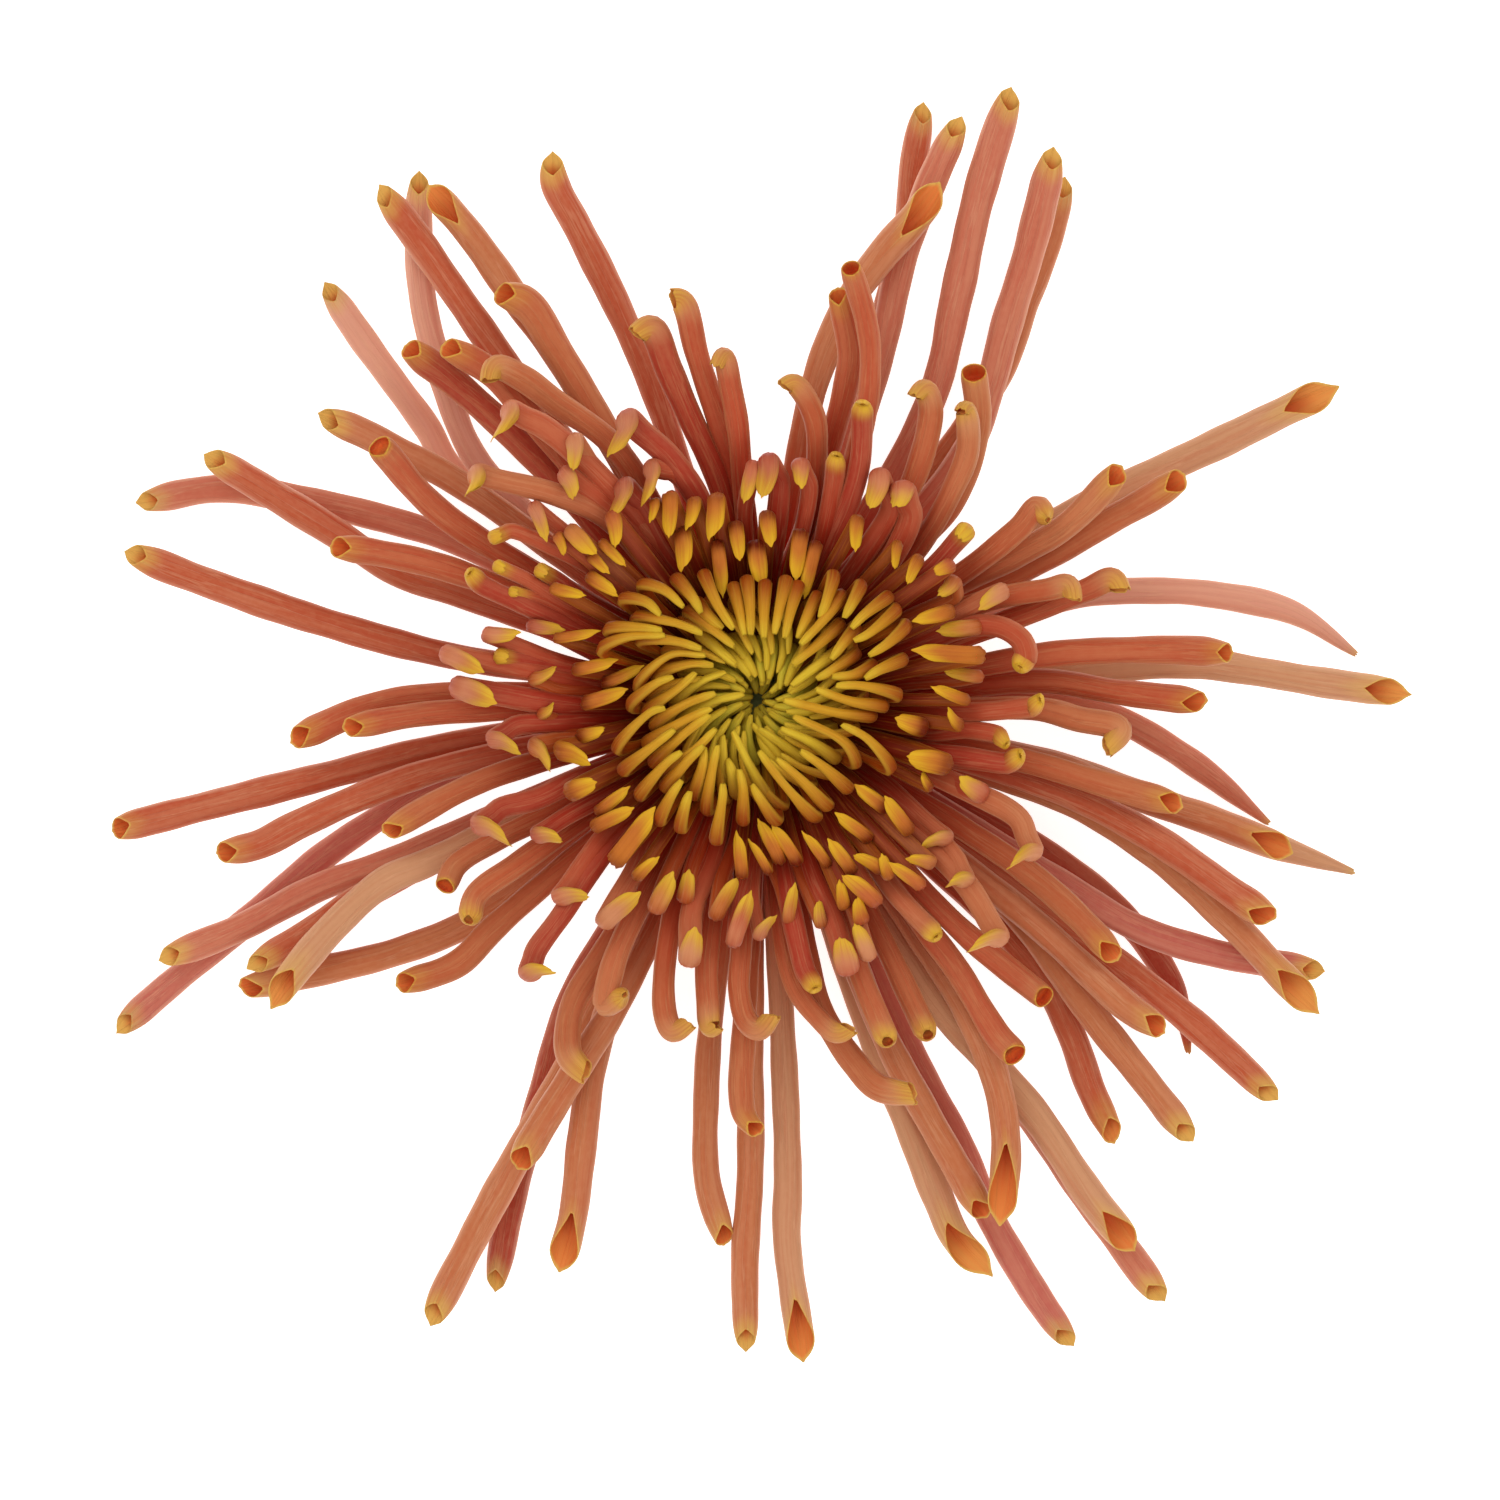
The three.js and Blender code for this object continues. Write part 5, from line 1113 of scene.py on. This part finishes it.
@dataclass
class LevelFlorets:
    """Long florets in levels, straight or bent at the end: shared by the outer and middle ones.

    They are ``deep`` red near the axis, partly as painted shade, turn pale near their tips, partly
    as a painted highlight on the bend, and are rolled by ``sway`` on average. The lowest ones rest on
    the floor with their tips.
    """

    rows: tuple[LongRow, ...]
    finish: PetalFinish
    form: TubeForm
    root_width: float = 2.2
    full_width_reach: float = 35.0
    deep_from: float = 12.0
    deep_to: float = 40.0
    spacing: float = ROOT_SPACING
    floor_gap: float = 0.06
    pale_highlight_from: float = 4.6
    pale_highlight_to: float = 2.4
    sway: float = 0.18
    chance: np.random.Generator = field(default_factory=lambda: np.random.default_rng(11))

    def knots(self, row: LongRow, root: tuple[float, float], bearing: float) -> np.ndarray:
        """Works out the centre line's knots.

        Args:
            row: The floret's row.
            root: Radius and height of its root.
            bearing: Bearing of its root.

        Returns:
            The knots, root first.
        """
        plan, width = plan_points(row.plan), row.width
        reach = np.hypot(plan[:, 0], plan[:, 1])
        crest = LEVEL_CREST[row.level]
        fall = (np.maximum(reach - CREST_REACH, 0.0) / DROOP_REACH) ** DROOP_POWER
        to_floor = crest - self.floor_gap - width * 0.2
        droop = to_floor / fall[-1] if row.level == 0 else DROOP
        rise = root[1] + (crest - root[1]) * smooth(reach, root[0], CREST_REACH) - droop * fall
        line = np.column_stack([plan, rise])
        out = unit(line[-1] - line[-2])
        if row.tip in (Tip.UPTURNED, Tip.CURLED):
            line[-1] += (0.0, 0.0, 0.3 * width) - 0.3 * width * out
            line = np.vstack([line, line[-1] + 0.2 * width * out + (0.0, 0.0, 0.5 * width)])
        elif row.tip is Tip.HOOK:
            line[-2, 2] += 0.3 * width
            line[-1, 2] += 0.5 * width
        else:
            line[-1] += 0.5 * out + (0.0, 0.0, 0.15 * width)
        return np.vstack([root_point(root, bearing), line])

    def floret(self, row: LongRow, root: tuple[float, float], bearing: float) -> Floret:
        """Shapes one floret.

        Args:
            row: Its row in the table.
            root: Radius and height of its root.
            bearing: Bearing of its root.

        Returns:
            The floret.
        """
        spine = Spine.through(self.knots(row, root, bearing))
        cut = TIP_FORMS[row.tip]
        grown = np.clip((spine.reach - root[0]) / self.full_width_reach, 0.0, 1.0)
        width = self.root_width + (row.width - self.root_width) * grown
        # Deep red toward the eye: partly the petal's colour, partly painted shade.
        deep = 1.0 - smooth(spine.reach, self.deep_from, self.deep_to)
        # Paler toward a bent tip: partly a paler shoulder, partly a painted highlight on the bend.
        pale = cut.pale * smooth(spine.left, self.pale_highlight_from, self.pale_highlight_to)
        pale = pale * (1.0 - 0.35 * smooth(spine.left, 2.0, 0.0))
        roll = float(self.chance.normal(0.0, self.sway))
        if row.tip is Tip.HOOK and turns_left(spine.points[:, :2]):
            roll -= 2.0 * cut.roll
        mouth = 1.25 * (row.mouth or cut.mouth) + 0.6 if row.tip is Tip.MOUTH else row.mouth
        flat, length = PRESSED.get(row.tip, (0.0, 1.0))
        return Floret(spine, width * cut.narrowing(spine.left) / 2.0, row.tip, mouth, row.hue, deep, pale,
                      press=1.0 - flat * smooth(spine.left, length, 0.15 * length), roll=roll,
                      phase=float(self.chance.uniform(0.0, 6.0)))


@dataclass
class OuterFlorets(LevelFlorets):
    """The long outer florets, each a piece of its own."""

    low_finish: PetalFinish | None = None

    def build(self) -> list[bpy.types.Object]:
        """Builds and dresses every outer floret.

        Returns:
            The pieces.
        """
        bearings = [bearing_of(row.plan) for row in self.rows]
        for level in range(len(OUTER_ROOTS)):
            places = [i for i, row in enumerate(self.rows) if row.level == level]
            apart = spread_bearings([bearings[i] for i in places], self.spacing)
            for place, bearing in zip(places, apart):
                bearings[place] = bearing
        high, low = self.finish.material(), self.low_finish.material()
        pieces = []
        for number, (row, bearing) in enumerate(zip(self.rows, bearings), 1):
            slot, material = ("lower_florets", low) if row.level == 0 else ("outer_florets", high)
            skin = PetalSkin(f"long_floret_{number:02d}")
            skin.add_floret(self.floret(row, OUTER_ROOTS[row.level], bearing), self.form)
            pieces.append(settle(skin, material, slot, f"outer_floret_{number:02d}"))
        return pieces


@dataclass
class MiddleFlorets(LevelFlorets):
    """The shorter florets above them, many with a hooked end."""

    def build(self) -> list[bpy.types.Object]:
        """Builds and dresses the middle florets.

        Returns:
            The one piece that holds them.
        """
        bearings = spread_bearings([bearing_of(row.plan) for row in self.rows], self.spacing)
        skin = PetalSkin("hooked_florets", cells=len(self.rows))
        for row, bearing in zip(self.rows, bearings):
            skin.add_floret(self.floret(row, MIDDLE_ROOT, bearing), self.form)
        return [settle(skin, self.finish.material(), "middle_florets", "middle_florets")]


@dataclass
class Claws:
    """Florets whose narrow tubes end in a gold tongue that curls up and back over them.

    They stand ``curl`` widths over their tubes, and those that reach out from ``near`` to ``far``
    are more and more like the outer florets in colour.
    """

    name: str
    node: str
    rows: tuple[ClawRow, ...]
    root: tuple[float, float]
    rise: tuple[tuple[float, ...], tuple[float, ...]]
    finish: PetalFinish
    form: TubeForm
    root_width: float = 1.5
    deep_from: float = 12.0
    deep_to: float = 38.0
    curl: float = 1.1
    near: float = 19.5
    far: float = 28.0
    most_gold: float = 3.1
    spacing: float = 0.7 * ROOT_SPACING
    sway: float = 0.25
    hues: tuple[Hue, ...] = (Hue.RUST, Hue.RUST, Hue.AMBER, Hue.CRIMSON)
    chance: np.random.Generator = field(default_factory=lambda: np.random.default_rng(23))

    def bearings(self) -> list[float]:
        """Bearings of the roots."""
        return spread_bearings([bearing_of(row.plan) for row in self.rows], self.spacing)

    def knots(self, row: ClawRow, bearing: float) -> np.ndarray:
        """Works out the centre line's knots, with the curl at its end.

        Args:
            row: The claw's row.
            bearing: Bearing of its root.

        Returns:
            The knots, root first.
        """
        plan, width = plan_points(row.plan), row.width
        line = np.column_stack([plan, np.interp(np.hypot(plan[:, 0], plan[:, 1]), *self.rise)])
        shoulder, end = line[-2], line[-1]
        over = (end - shoulder) * LEVEL
        tube, out = line[:-1], unit(over)
        if row.tip is Tip.CLAW:
            tube, out = line[:-2], unit((shoulder - line[-3]) * LEVEL)
            rise = self.curl * self.chance.uniform(0.8, 1.0)
            tongue = float(np.linalg.norm(over)) + 0.55
            curl = curled_end(shoulder, out, unit(over), width, rise, tongue)
        elif row.tip is Tip.CURLED:
            curl = [end - 0.6 * width * out, end - 0.08 * width * out + (0.0, 0.0, 0.4 * width),
                    end - 0.14 * width * out + (0.0, 0.0, 0.85 * width)]
        else:
            curl = curled_end(end, out, -out, width, 0.9, 0.5 * width)
        return np.vstack([root_point(self.root, bearing), tube, *curl])

    def floret(self, row: ClawRow, bearing: float) -> Floret:
        """Shapes one claw.

        Args:
            row: Its row in the table.
            bearing: Bearing of its root.

        Returns:
            The floret.
        """
        tip, width = row.tip, row.width
        spine = Spine.through(self.knots(row, bearing))
        cut = TIP_FORMS[tip]
        tongue = {Tip.CLAW: float(np.linalg.norm(np.subtract(*plan_points(row.plan)[-2:]))),
                  Tip.CURLED: 0.5 * width, Tip.KNOB: 0.4 * width}[tip]
        outward = float(smooth(spine.reach.max(), self.near, self.far))
        turned = spine.left - tongue
        grown = smooth(spine.along, 0.0, 0.75 * (spine.length - tongue))
        half = (self.root_width + (width - self.root_width) * grown) * cut.narrowing(spine.left) / 2.0
        # Deep red down the tube toward the eye, up to the curl: partly its colour, partly painted shade of
        # the crevice it lies in.
        deep = 1.0 - smooth(spine.reach, self.deep_from, self.deep_to)
        deep = deep * smooth(turned, -0.8, 0.7 + 1.3 * outward)
        # Painted highlight: the shoulder of the curl is painted pale, more so on the claws further out.
        pale = cut.pale * outward * smooth(turned, 1.6, -0.3) * smooth(turned, -1.8 - outward, 0.0)
        mouth = gold = 0.0
        if tip is Tip.CLAW:
            mouth = 0.75 * tongue + 0.3
            gold = min(tongue * (1.0 - 0.5 * outward) + 0.2 + outward, self.most_gold)
        hue = self.hues[int(self.chance.integers(len(self.hues)))]
        return Floret(spine, half, tip, mouth, hue if outward > 0.4 else Hue.OCHRE, deep, pale,
                      press=1.0 - 0.4 * smooth(turned, 0.6, -0.8), gold=gold,
                      roll=float(self.chance.normal(0.0, self.sway)),
                      phase=float(self.chance.uniform(0.0, 6.0)))

    def build(self) -> list[bpy.types.Object]:
        """Builds and dresses the claws.

        Returns:
            The one piece that holds them.
        """
        skin = PetalSkin(self.name, cells=len(self.rows))
        for row, bearing in zip(self.rows, self.bearings()):
            skin.add_floret(self.floret(row, bearing), self.form)
        return [settle(skin, self.finish.material(), self.node, self.node)]


@dataclass
class InnerClaws(Claws):
    """Shorter claws nearer the eye, each rooted straight under its own shoulder."""

    def bearings(self) -> list[float]:
        """Bearings of the roots."""
        return [bearing_of(row.plan, 1) for row in self.rows]


@dataclass
class CentreFlorets:
    """Small smooth fingers that lean in over the dome and swirl round the eye.

    The rows give the ones that are seen whole, ``narrow`` near the eye and ``wide`` further out.
    Rings of finer ones fill the dome between and under them, each ring as (count, reach of the
    shoulder, reach of the tip, width, drop).
    """

    rows: tuple[tuple[float, ...], ...]
    finish: PetalFinish
    form: TubeForm
    narrow: float = 1.2
    wide: float = 1.5
    narrow_to: float = 3.5
    wide_from: float = 11.0
    swirl: float = 0.38
    olive_reach: float = 6.5
    green_reach: float = 10.0
    rings: tuple[tuple[int, float, float, float, float], ...] = (
        (24, 10.4, 5.4, 1.2, 1.3), (20, 8.2, 3.2, 1.2, 0.9), (15, 6.0, 1.5, 1.2, 0.5),
        (9, 3.7, 0.5, 1.1, 0.0))
    chance: np.random.Generator = field(default_factory=lambda: np.random.default_rng(5))

    def hue(self, reach: float) -> CentreHue:
        """A finger's colour, by the reach of its shoulder."""
        outer = CentreHue.GREEN_GOLD if reach < self.green_reach else CentreHue.GOLD
        return CentreHue.OLIVE if reach < self.olive_reach else outer

    def floret(self, row: tuple[float, ...], width: float, drop: float = 0.0) -> Floret:
        """Shapes one finger.

        Args:
            row: Its shoulder, middle and tip, from above.
            width: Its greatest width.
            drop: How far it lies under the surface of the crown.

        Returns:
            The floret.
        """
        shoulder, middle, tip = plan_points(row)
        reach = float(np.hypot(*shoulder))
        height = float(np.interp(reach, *CENTRE_RISE)) - drop
        root_reach = min(CENTRE_ROOT[0], 0.45 * reach)
        spine = Spine.through(np.vstack([
            (*(shoulder / reach * root_reach), CENTRE_ROOT[1] - 1.0),
            (*shoulder, height),
            (*middle, height + 1.5),
            (*tip, height + 1.1),
        ]))
        bend = spine.left - float(np.hypot(*(middle - shoulder))) - float(np.hypot(*(tip - middle)))
        half = width * (1.0 - 0.45 * smooth(bend, 0.0, 5.0)) * (1.0 - 0.4 * smooth(bend, 0.6, -4.5))
        half = half * TIP_FORMS[Tip.FINGER].narrowing(spine.left) / 2.0
        # The outer bend, low in the crevice round the crown, is painted deep orange-brown: partly its
        # colour, partly painted shade.
        deep = smooth(bend, -5.2, 0.6) * (0.4 + 0.6 * float(smooth(reach, 5.0, 12.0)))
        return Floret(spine, half, Tip.FINGER, 0.0, self.hue(reach), deep, np.zeros_like(deep),
                      roll=float(self.chance.uniform(-0.6, 0.6)) + math.pi,
                      phase=float(self.chance.uniform(0.0, 6.0)))

    def infill(self) -> list[Floret]:
        """Shapes the finer fingers between the others.

        Returns:
            The florets.
        """
        florets = []
        for count, shoulder, tip, width, drop in self.rings:
            for place in range(count):
                turn = FULL_TURN * (place + self.chance.uniform(-0.25, 0.25)) / count
                reach = shoulder * self.chance.uniform(0.94, 1.06)
                end = tip * self.chance.uniform(0.8, 1.2)
                line = ((reach, 0.0), (0.5 * (reach + end), 0.5 * self.swirl), (end, self.swirl))
                row = tuple(part for radius, lag in line
                            for part in (radius * math.cos(turn - lag), radius * math.sin(turn - lag)))
                florets.append(self.floret(row, width * self.chance.uniform(0.9, 1.1), drop))
        return florets

    def build(self) -> list[bpy.types.Object]:
        """Builds and dresses the centre florets.

        Returns:
            The one piece that holds them.
        """
        florets = self.infill()
        for row in self.rows:
            share = float(smooth(math.hypot(row[0], row[1]), self.narrow_to, self.wide_from))
            florets.append(self.floret(row, self.narrow + (self.wide - self.narrow) * share))
        skin = PetalSkin("centre_fingers", cells=len(florets))
        for floret in florets:
            skin.add_floret(floret, self.form)
        return [settle(skin, self.finish.material(), "centre_florets", "centre_florets")]


def settle(skin: Skin, material: bpy.types.Material, slot: str, *nodes: str) -> bpy.types.Object:
    """Makes a skin's piece, ties it to the frame and reports it.

    Args:
        skin: The skin.
        material: Its finish.
        slot: Not used.
        *nodes: The nodes that it stands for.

    Returns:
        The piece.
    """
    piece = skin.finish(material)
    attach(piece, "root")
    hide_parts(*nodes)
    LOG.info("%s: %d points, for %s", piece.name, len(piece.data.vertices), ", ".join(nodes))
    return piece


def circle(radius: np.ndarray | float, angle: np.ndarray, height: float) -> np.ndarray:
    """Points at a height round the axis, at one radius or at one for each."""
    return np.column_stack([radius * np.cos(angle), radius * np.sin(angle), np.full_like(angle, height)])


@dataclass
class StemStub:
    """The short cut end of the stem: ribbed, with a pale pithy cut face that it stands on.

    The profile goes from the middle of the cut face up the side, as (share of the radius, height,
    how pale it is).
    """

    radius: float = 3.1
    ribs: int = 9
    rib_depth: float = 0.14
    sides: int = 72
    profile: tuple[tuple[float, float, float], ...] = (
        (0.45, 0.05, 0.75), (0.46, 0.02, 0.4), (0.8, 0.0, 0.85), (0.97, 0.0, 0.5), (1.0, 0.12, 0.1),
        (1.0, 1.2, 0.0), (0.98, 3.0, 0.0), (1.0, 4.6, 0.0), (1.08, 5.6, 0.0), (1.22, 6.3, 0.0))
    finish: GreenFinish = GreenFinish("stem_green", linear(112, 138, 66), linear(84, 112, 48),
                                      linear(178, 190, 122))

    def build(self) -> list[bpy.types.Object]:
        """Builds and dresses the stem.

        Returns:
            The piece.
        """
        angle = FULL_TURN * np.arange(self.sides) / self.sides
        ribs = self.rib_depth * (np.abs(np.cos(self.ribs * angle / 2.0)) ** 0.7 - 1.0)
        grid = [circle(self.radius * share + ribs * share, angle, height)
                for share, height, _ in self.profile]
        skin = Skin("cut_stem")
        skin.add(np.array(grid), margin=np.repeat([pale for _, _, pale in self.profile], self.sides))
        return [settle(skin, self.finish.material(), "stem", "stem")]


@dataclass
class Receptacle:
    """The domed base that carries the florets, pitted where they are rooted."""

    sides: int = 96
    pits: float = 24.0
    pit_depth: float = 0.1
    profile: tuple[tuple[float, float], ...] = (
        (4.1, 6.45), (7.0, 6.9), (9.4, 7.5), (10.5, 8.6), (10.8, 9.6), (10.7, 10.7), (10.4, 11.8),
        (10.0, 12.8), (9.0, 13.9), (7.9, 14.8), (6.6, 15.6), (5.2, 16.25), (3.4, 16.7), (1.4, 16.95),
    )
    finish: GreenFinish = GreenFinish("receptacle_tissue", linear(172, 176, 104), linear(140, 150, 78),
                                      linear(206, 202, 150))

    def build(self) -> list[bpy.types.Object]:
        """Builds and dresses the receptacle.

        Returns:
            The piece.
        """
        angle = FULL_TURN * np.arange(self.sides) / self.sides
        grid = []
        for step, (radius, height) in enumerate(self.profile):
            pit = self.pit_depth * np.cos(self.pits * angle + (step % 2) * math.pi)
            grid.append(circle(radius + pit * float(smooth(height, 8.0, 10.0)), angle, height))
        skin = Skin("floret_base")
        skin.add(np.array(grid), margin=np.zeros((len(grid), self.sides)))
        return [settle(skin, self.finish.material(), "receptacle", "receptacle")]


@dataclass
class BractRing:
    """One ring of leafy bracts with papery margins, cupped under the receptacle."""

    name: str
    node: str
    low: float
    reach: float
    turn: float
    count: int = 10
    width: float = 4.6
    thickness: float = 0.34
    base_radius: float = 3.7
    leaf_rows: int = 14
    leaf_columns: int = 7
    collar: tuple[tuple[float, float], ...] = ((3.85, 0.0), (5.3, 0.0), (5.4, 0.45), (3.85, 0.45))
    collar_sides: int = 48

    def leaf(self, bearing: float, chance: np.random.Generator) -> tuple[np.ndarray, np.ndarray]:
        """Shapes one bract as a thin closed leaf.

        Args:
            bearing: Direction that it points in.
            chance: Source of its small differences.

        Returns:
            Its points by row and column, and how papery each one is.
        """
        reach = self.reach * chance.uniform(0.94, 1.03)
        lean = chance.uniform(-0.06, 0.06)
        offset = np.linspace(-1.0, 1.0, self.leaf_columns)
        loop = np.concatenate([offset, offset[::-1]])
        side = np.repeat([0.5, -0.5], self.leaf_columns)
        grid, papery = [], []
        for share in np.linspace(0.0, 1.0, self.leaf_rows):
            centre = self.base_radius + (reach - self.base_radius) * share
            rise = self.low + 0.35 + 0.5 * share + 1.15 * share ** 3
            wide = self.width / 2.0 * (0.62 + 0.6 * share) * math.sqrt(max(1.0 - share ** 4, 0.0)) + 0.05
            thick = self.thickness * (1.0 - 0.8 * np.abs(loop) ** 3) * (1.0 - 0.5 * share)
            keel = 0.22 * np.exp(-((loop / 0.22) ** 2)) * (1.0 - share) * (side < 0)
            across = loop * wide
            up = rise + 0.55 * loop ** 2 * (0.3 + share) + side * thick - keel
            angle = bearing + lean * share
            grid.append(np.column_stack([centre * math.cos(angle) - across * math.sin(angle),
                                         centre * math.sin(angle) + across * math.cos(angle), up]))
            edge = smooth(np.abs(loop), 0.62, 0.95) + float(smooth(share, 0.84, 1.0))
            papery.append(np.clip(edge, 0.0, 1.0))
        return np.array(grid), np.array(papery)

    def build(self) -> list[bpy.types.Object]:
        """Builds and dresses the ring.

        Returns:
            The piece.
        """
        chance = np.random.default_rng(int(self.low * 100))
        skin = Skin(self.name)
        for place in range(self.count):
            points, papery = self.leaf(self.turn + FULL_TURN * place / self.count, chance)
            skin.add(points[:, ::-1], margin=papery[:, ::-1])
        angle = FULL_TURN * np.arange(self.collar_sides) / self.collar_sides
        collar = np.array([circle(radius, angle, self.low + height) for radius, height in self.collar])
        skin.add(collar, margin=np.zeros(collar.shape[:2]))
        finish = GreenFinish(f"{self.name}_green", linear(98, 124, 62), linear(70, 98, 44),
                             linear(188, 170, 118), stretch=(1.0, 1.0, 1.0))
        return [settle(skin, finish.material(), "bracts", self.node)]


@dataclass
class Studio:
    """Plain pale floor, soft light from all round and a long lens straight above.

    Its sizes and places are in metres, and the lamps' powers in watts.
    """

    picture_width: float = 0.15
    centre: tuple[float, float] = (-0.00115, -0.00265)
    focus_height: float = 0.015
    distance: float = 2.0
    sensor: float = 36.0
    world_strength: float = 0.5
    lamp_bearings: tuple[float, ...] = (35.0, 125.0, 215.0, 305.0)
    lamp_reach: float = 0.62
    lamp_height: float = 0.62
    lamp_size: float = 0.5
    lamp_power: float = 1.5
    overhead_place: tuple[float, float, float] = (-0.1, 0.25, 0.9)
    overhead_size: float = 0.6
    overhead_power: float = 1.0
    floor_half: float = 1.6
    floor_glow: float = 0.75

    def floor(self) -> None:
        """Lays the floor."""
        half = self.floor_half
        corners = [(-half, -half, 0.0), (half, -half, 0.0), (half, half, 0.0), (-half, half, 0.0)]
        mesh = bpy.data.meshes.new("floor")
        mesh.from_pydata(corners, [], [(0, 1, 2, 3)])
        sheet = NodeSheet("pale_floor")
        tone = sheet.noise(sheet.node("TexCoord").outputs["Object"], 6.0)
        sheet.paint(sheet.mix(tone, (0.86, 0.86, 0.86, 1.0), (0.9, 0.9, 0.9, 1.0)), Roughness=0.9,
                    Specular_IOR_Level=0.1, Emission_Color=(1.0, 1.0, 1.0, 1.0),
                    Emission_Strength=self.floor_glow)
        mesh.materials.append(sheet.material)
        floor = add_object("floor", mesh)

    def lamp(self, name: str, place: tuple[float, float, float], size: float, power: float) -> None:
        """Hangs one soft lamp that faces the flower.

        Args:
            name: Its name.
            place: Where it hangs.
            size: Side of its square.
            power: Its power.
        """
        light = bpy.data.lights.new(name, "AREA")
        light.size, light.energy = size, power
        lamp = add_object(name, light)
        lamp.location = place
        lamp.rotation_mode = "QUATERNION"
        lamp.rotation_quaternion = (-Vector(place)).to_track_quat("-Z", "Y")

    def build(self) -> None:
        """Sets the floor, the lamps, the world, the camera and the picture's tone."""
        self.floor()
        for number, bearing in enumerate(self.lamp_bearings, 1):
            turn = math.radians(bearing)
            place = (self.lamp_reach * math.cos(turn), self.lamp_reach * math.sin(turn), self.lamp_height)
            self.lamp(f"side_light_{number}", place, self.lamp_size, self.lamp_power)
        self.lamp("top_light", self.overhead_place, self.overhead_size, self.overhead_power)
        world = bpy.data.worlds.new("soft_white")
        world.use_nodes = True
        sky = world.node_tree.nodes["Background"]
        sky.inputs["Color"].default_value = (1.0, 1.0, 1.0, 1.0)
        sky.inputs["Strength"].default_value = self.world_strength
        lens = bpy.data.cameras.new("camera")
        lens.sensor_width = self.sensor
        lens.lens = self.sensor * self.distance / self.picture_width
        lens.clip_start, lens.clip_end = 0.05, 10.0
        camera = add_object("camera", lens)
        camera.location = (*self.centre, self.focus_height + self.distance)
        scene = bpy.context.scene
        scene.world, scene.camera = world, camera
        scene.view_settings.view_transform = "Standard"
        scene.view_settings.look = "None"


def main() -> None:
    """Builds the flower from the stem up, then the studio, and reports each piece."""
    logging.basicConfig(level=logging.INFO, format="%(message)s")
    long_form = TubeForm(sides=30, rows=72, lining_rows=9)
    hook_form = TubeForm(sides=28, rows=62, lining_rows=8, groove=0.04, gather=1.5)
    claw_form = TubeForm(sides=24, rows=56, lining_rows=5, flatness=0.8, groove=0.02, rib=0.004, wall=0.1,
                         gather=1.8)
    small_form = TubeForm(sides=20, rows=46, lining_rows=4, flatness=0.8, groove=0.0, rib=0.0, wall=0.08,
                          gather=1.7)
    finger_form = TubeForm(sides=14, rows=30, lining_rows=2, flatness=0.86, groove=0.0, rib=0.0, wall=0.06)
    # Each finish's deep colour goes on near the eye and is partly painted shade of the crevices there; the
    # inner claws' near-black red most of all.
    rust = PetalFinish("rust_petal")
    pink = PetalFinish("dusty_pink_petal", deep=linear(168, 50, 38), vein=0.15, gold=linear(202, 160, 92))
    hook = PetalFinish("hooked_petal", deep=linear(170, 34, 16), pale=linear(212, 154, 104),
                       gold=linear(208, 156, 60), gold_shade=linear(192, 124, 48))
    claw = PetalFinish("claw_petal", deep=linear(158, 30, 12), gold=linear(214, 168, 46),
                       gold_shade=linear(208, 148, 42), pale=linear(210, 146, 104),
                       lip=linear(216, 172, 62), lining=linear(212, 126, 36), depth=0.06)
    small = PetalFinish("inner_claw_petal", deep=linear(104, 14, 4), gold=linear(216, 166, 32),
                        gold_shade=linear(208, 142, 28), pale=linear(206, 128, 36),
                        lip=linear(216, 152, 30), lining=linear(204, 118, 26), depth=0.05)
    finger = PetalFinish("centre_petal", deep=linear(148, 58, 8), gold=linear(218, 184, 48),
                         gold_shade=linear(204, 152, 32), lip=linear(216, 178, 46),
                         lining=linear(204, 148, 34), pale=linear(214, 176, 56), streak=0.2, vein=0.2,
                         crease=0.15, depth=0.06)
    assemblies = (
        StemStub(),
        Receptacle(),
        BractRing("lower_ring", "lower_bracts", low=4.35, reach=8.6, turn=0.0),
        BractRing("upper_ring", "upper_bracts", low=5.35, reach=10.6, turn=math.pi / 10, width=5.4),
        OuterFlorets(OUTER_ROWS, rust, long_form, low_finish=pink),
        MiddleFlorets(MIDDLE_ROWS, hook, hook_form, root_width=2.0, deep_to=44.0,
                      spacing=0.9 * ROOT_SPACING),
        Claws("outer_claw_ring", "outer_claws", CLAW_ROWS, CLAW_ROOT, CLAW_RISE, claw, claw_form),
        InnerClaws("inner_claw_ring", "inner_claws", INNER_CLAW_ROWS, INNER_CLAW_ROOT, INNER_CLAW_RISE,
                   small, small_form, root_width=1.2, deep_from=13.0, deep_to=34.0),
        CentreFlorets(CENTRE_ROWS, finger, finger_form),
    )
    for assembly in assemblies:
        pieces = assembly.build()
        LOG.info("%s: %d pieces", type(assembly).__name__, len(pieces))
    Studio().build()


if __name__ == "__main__":
    main()
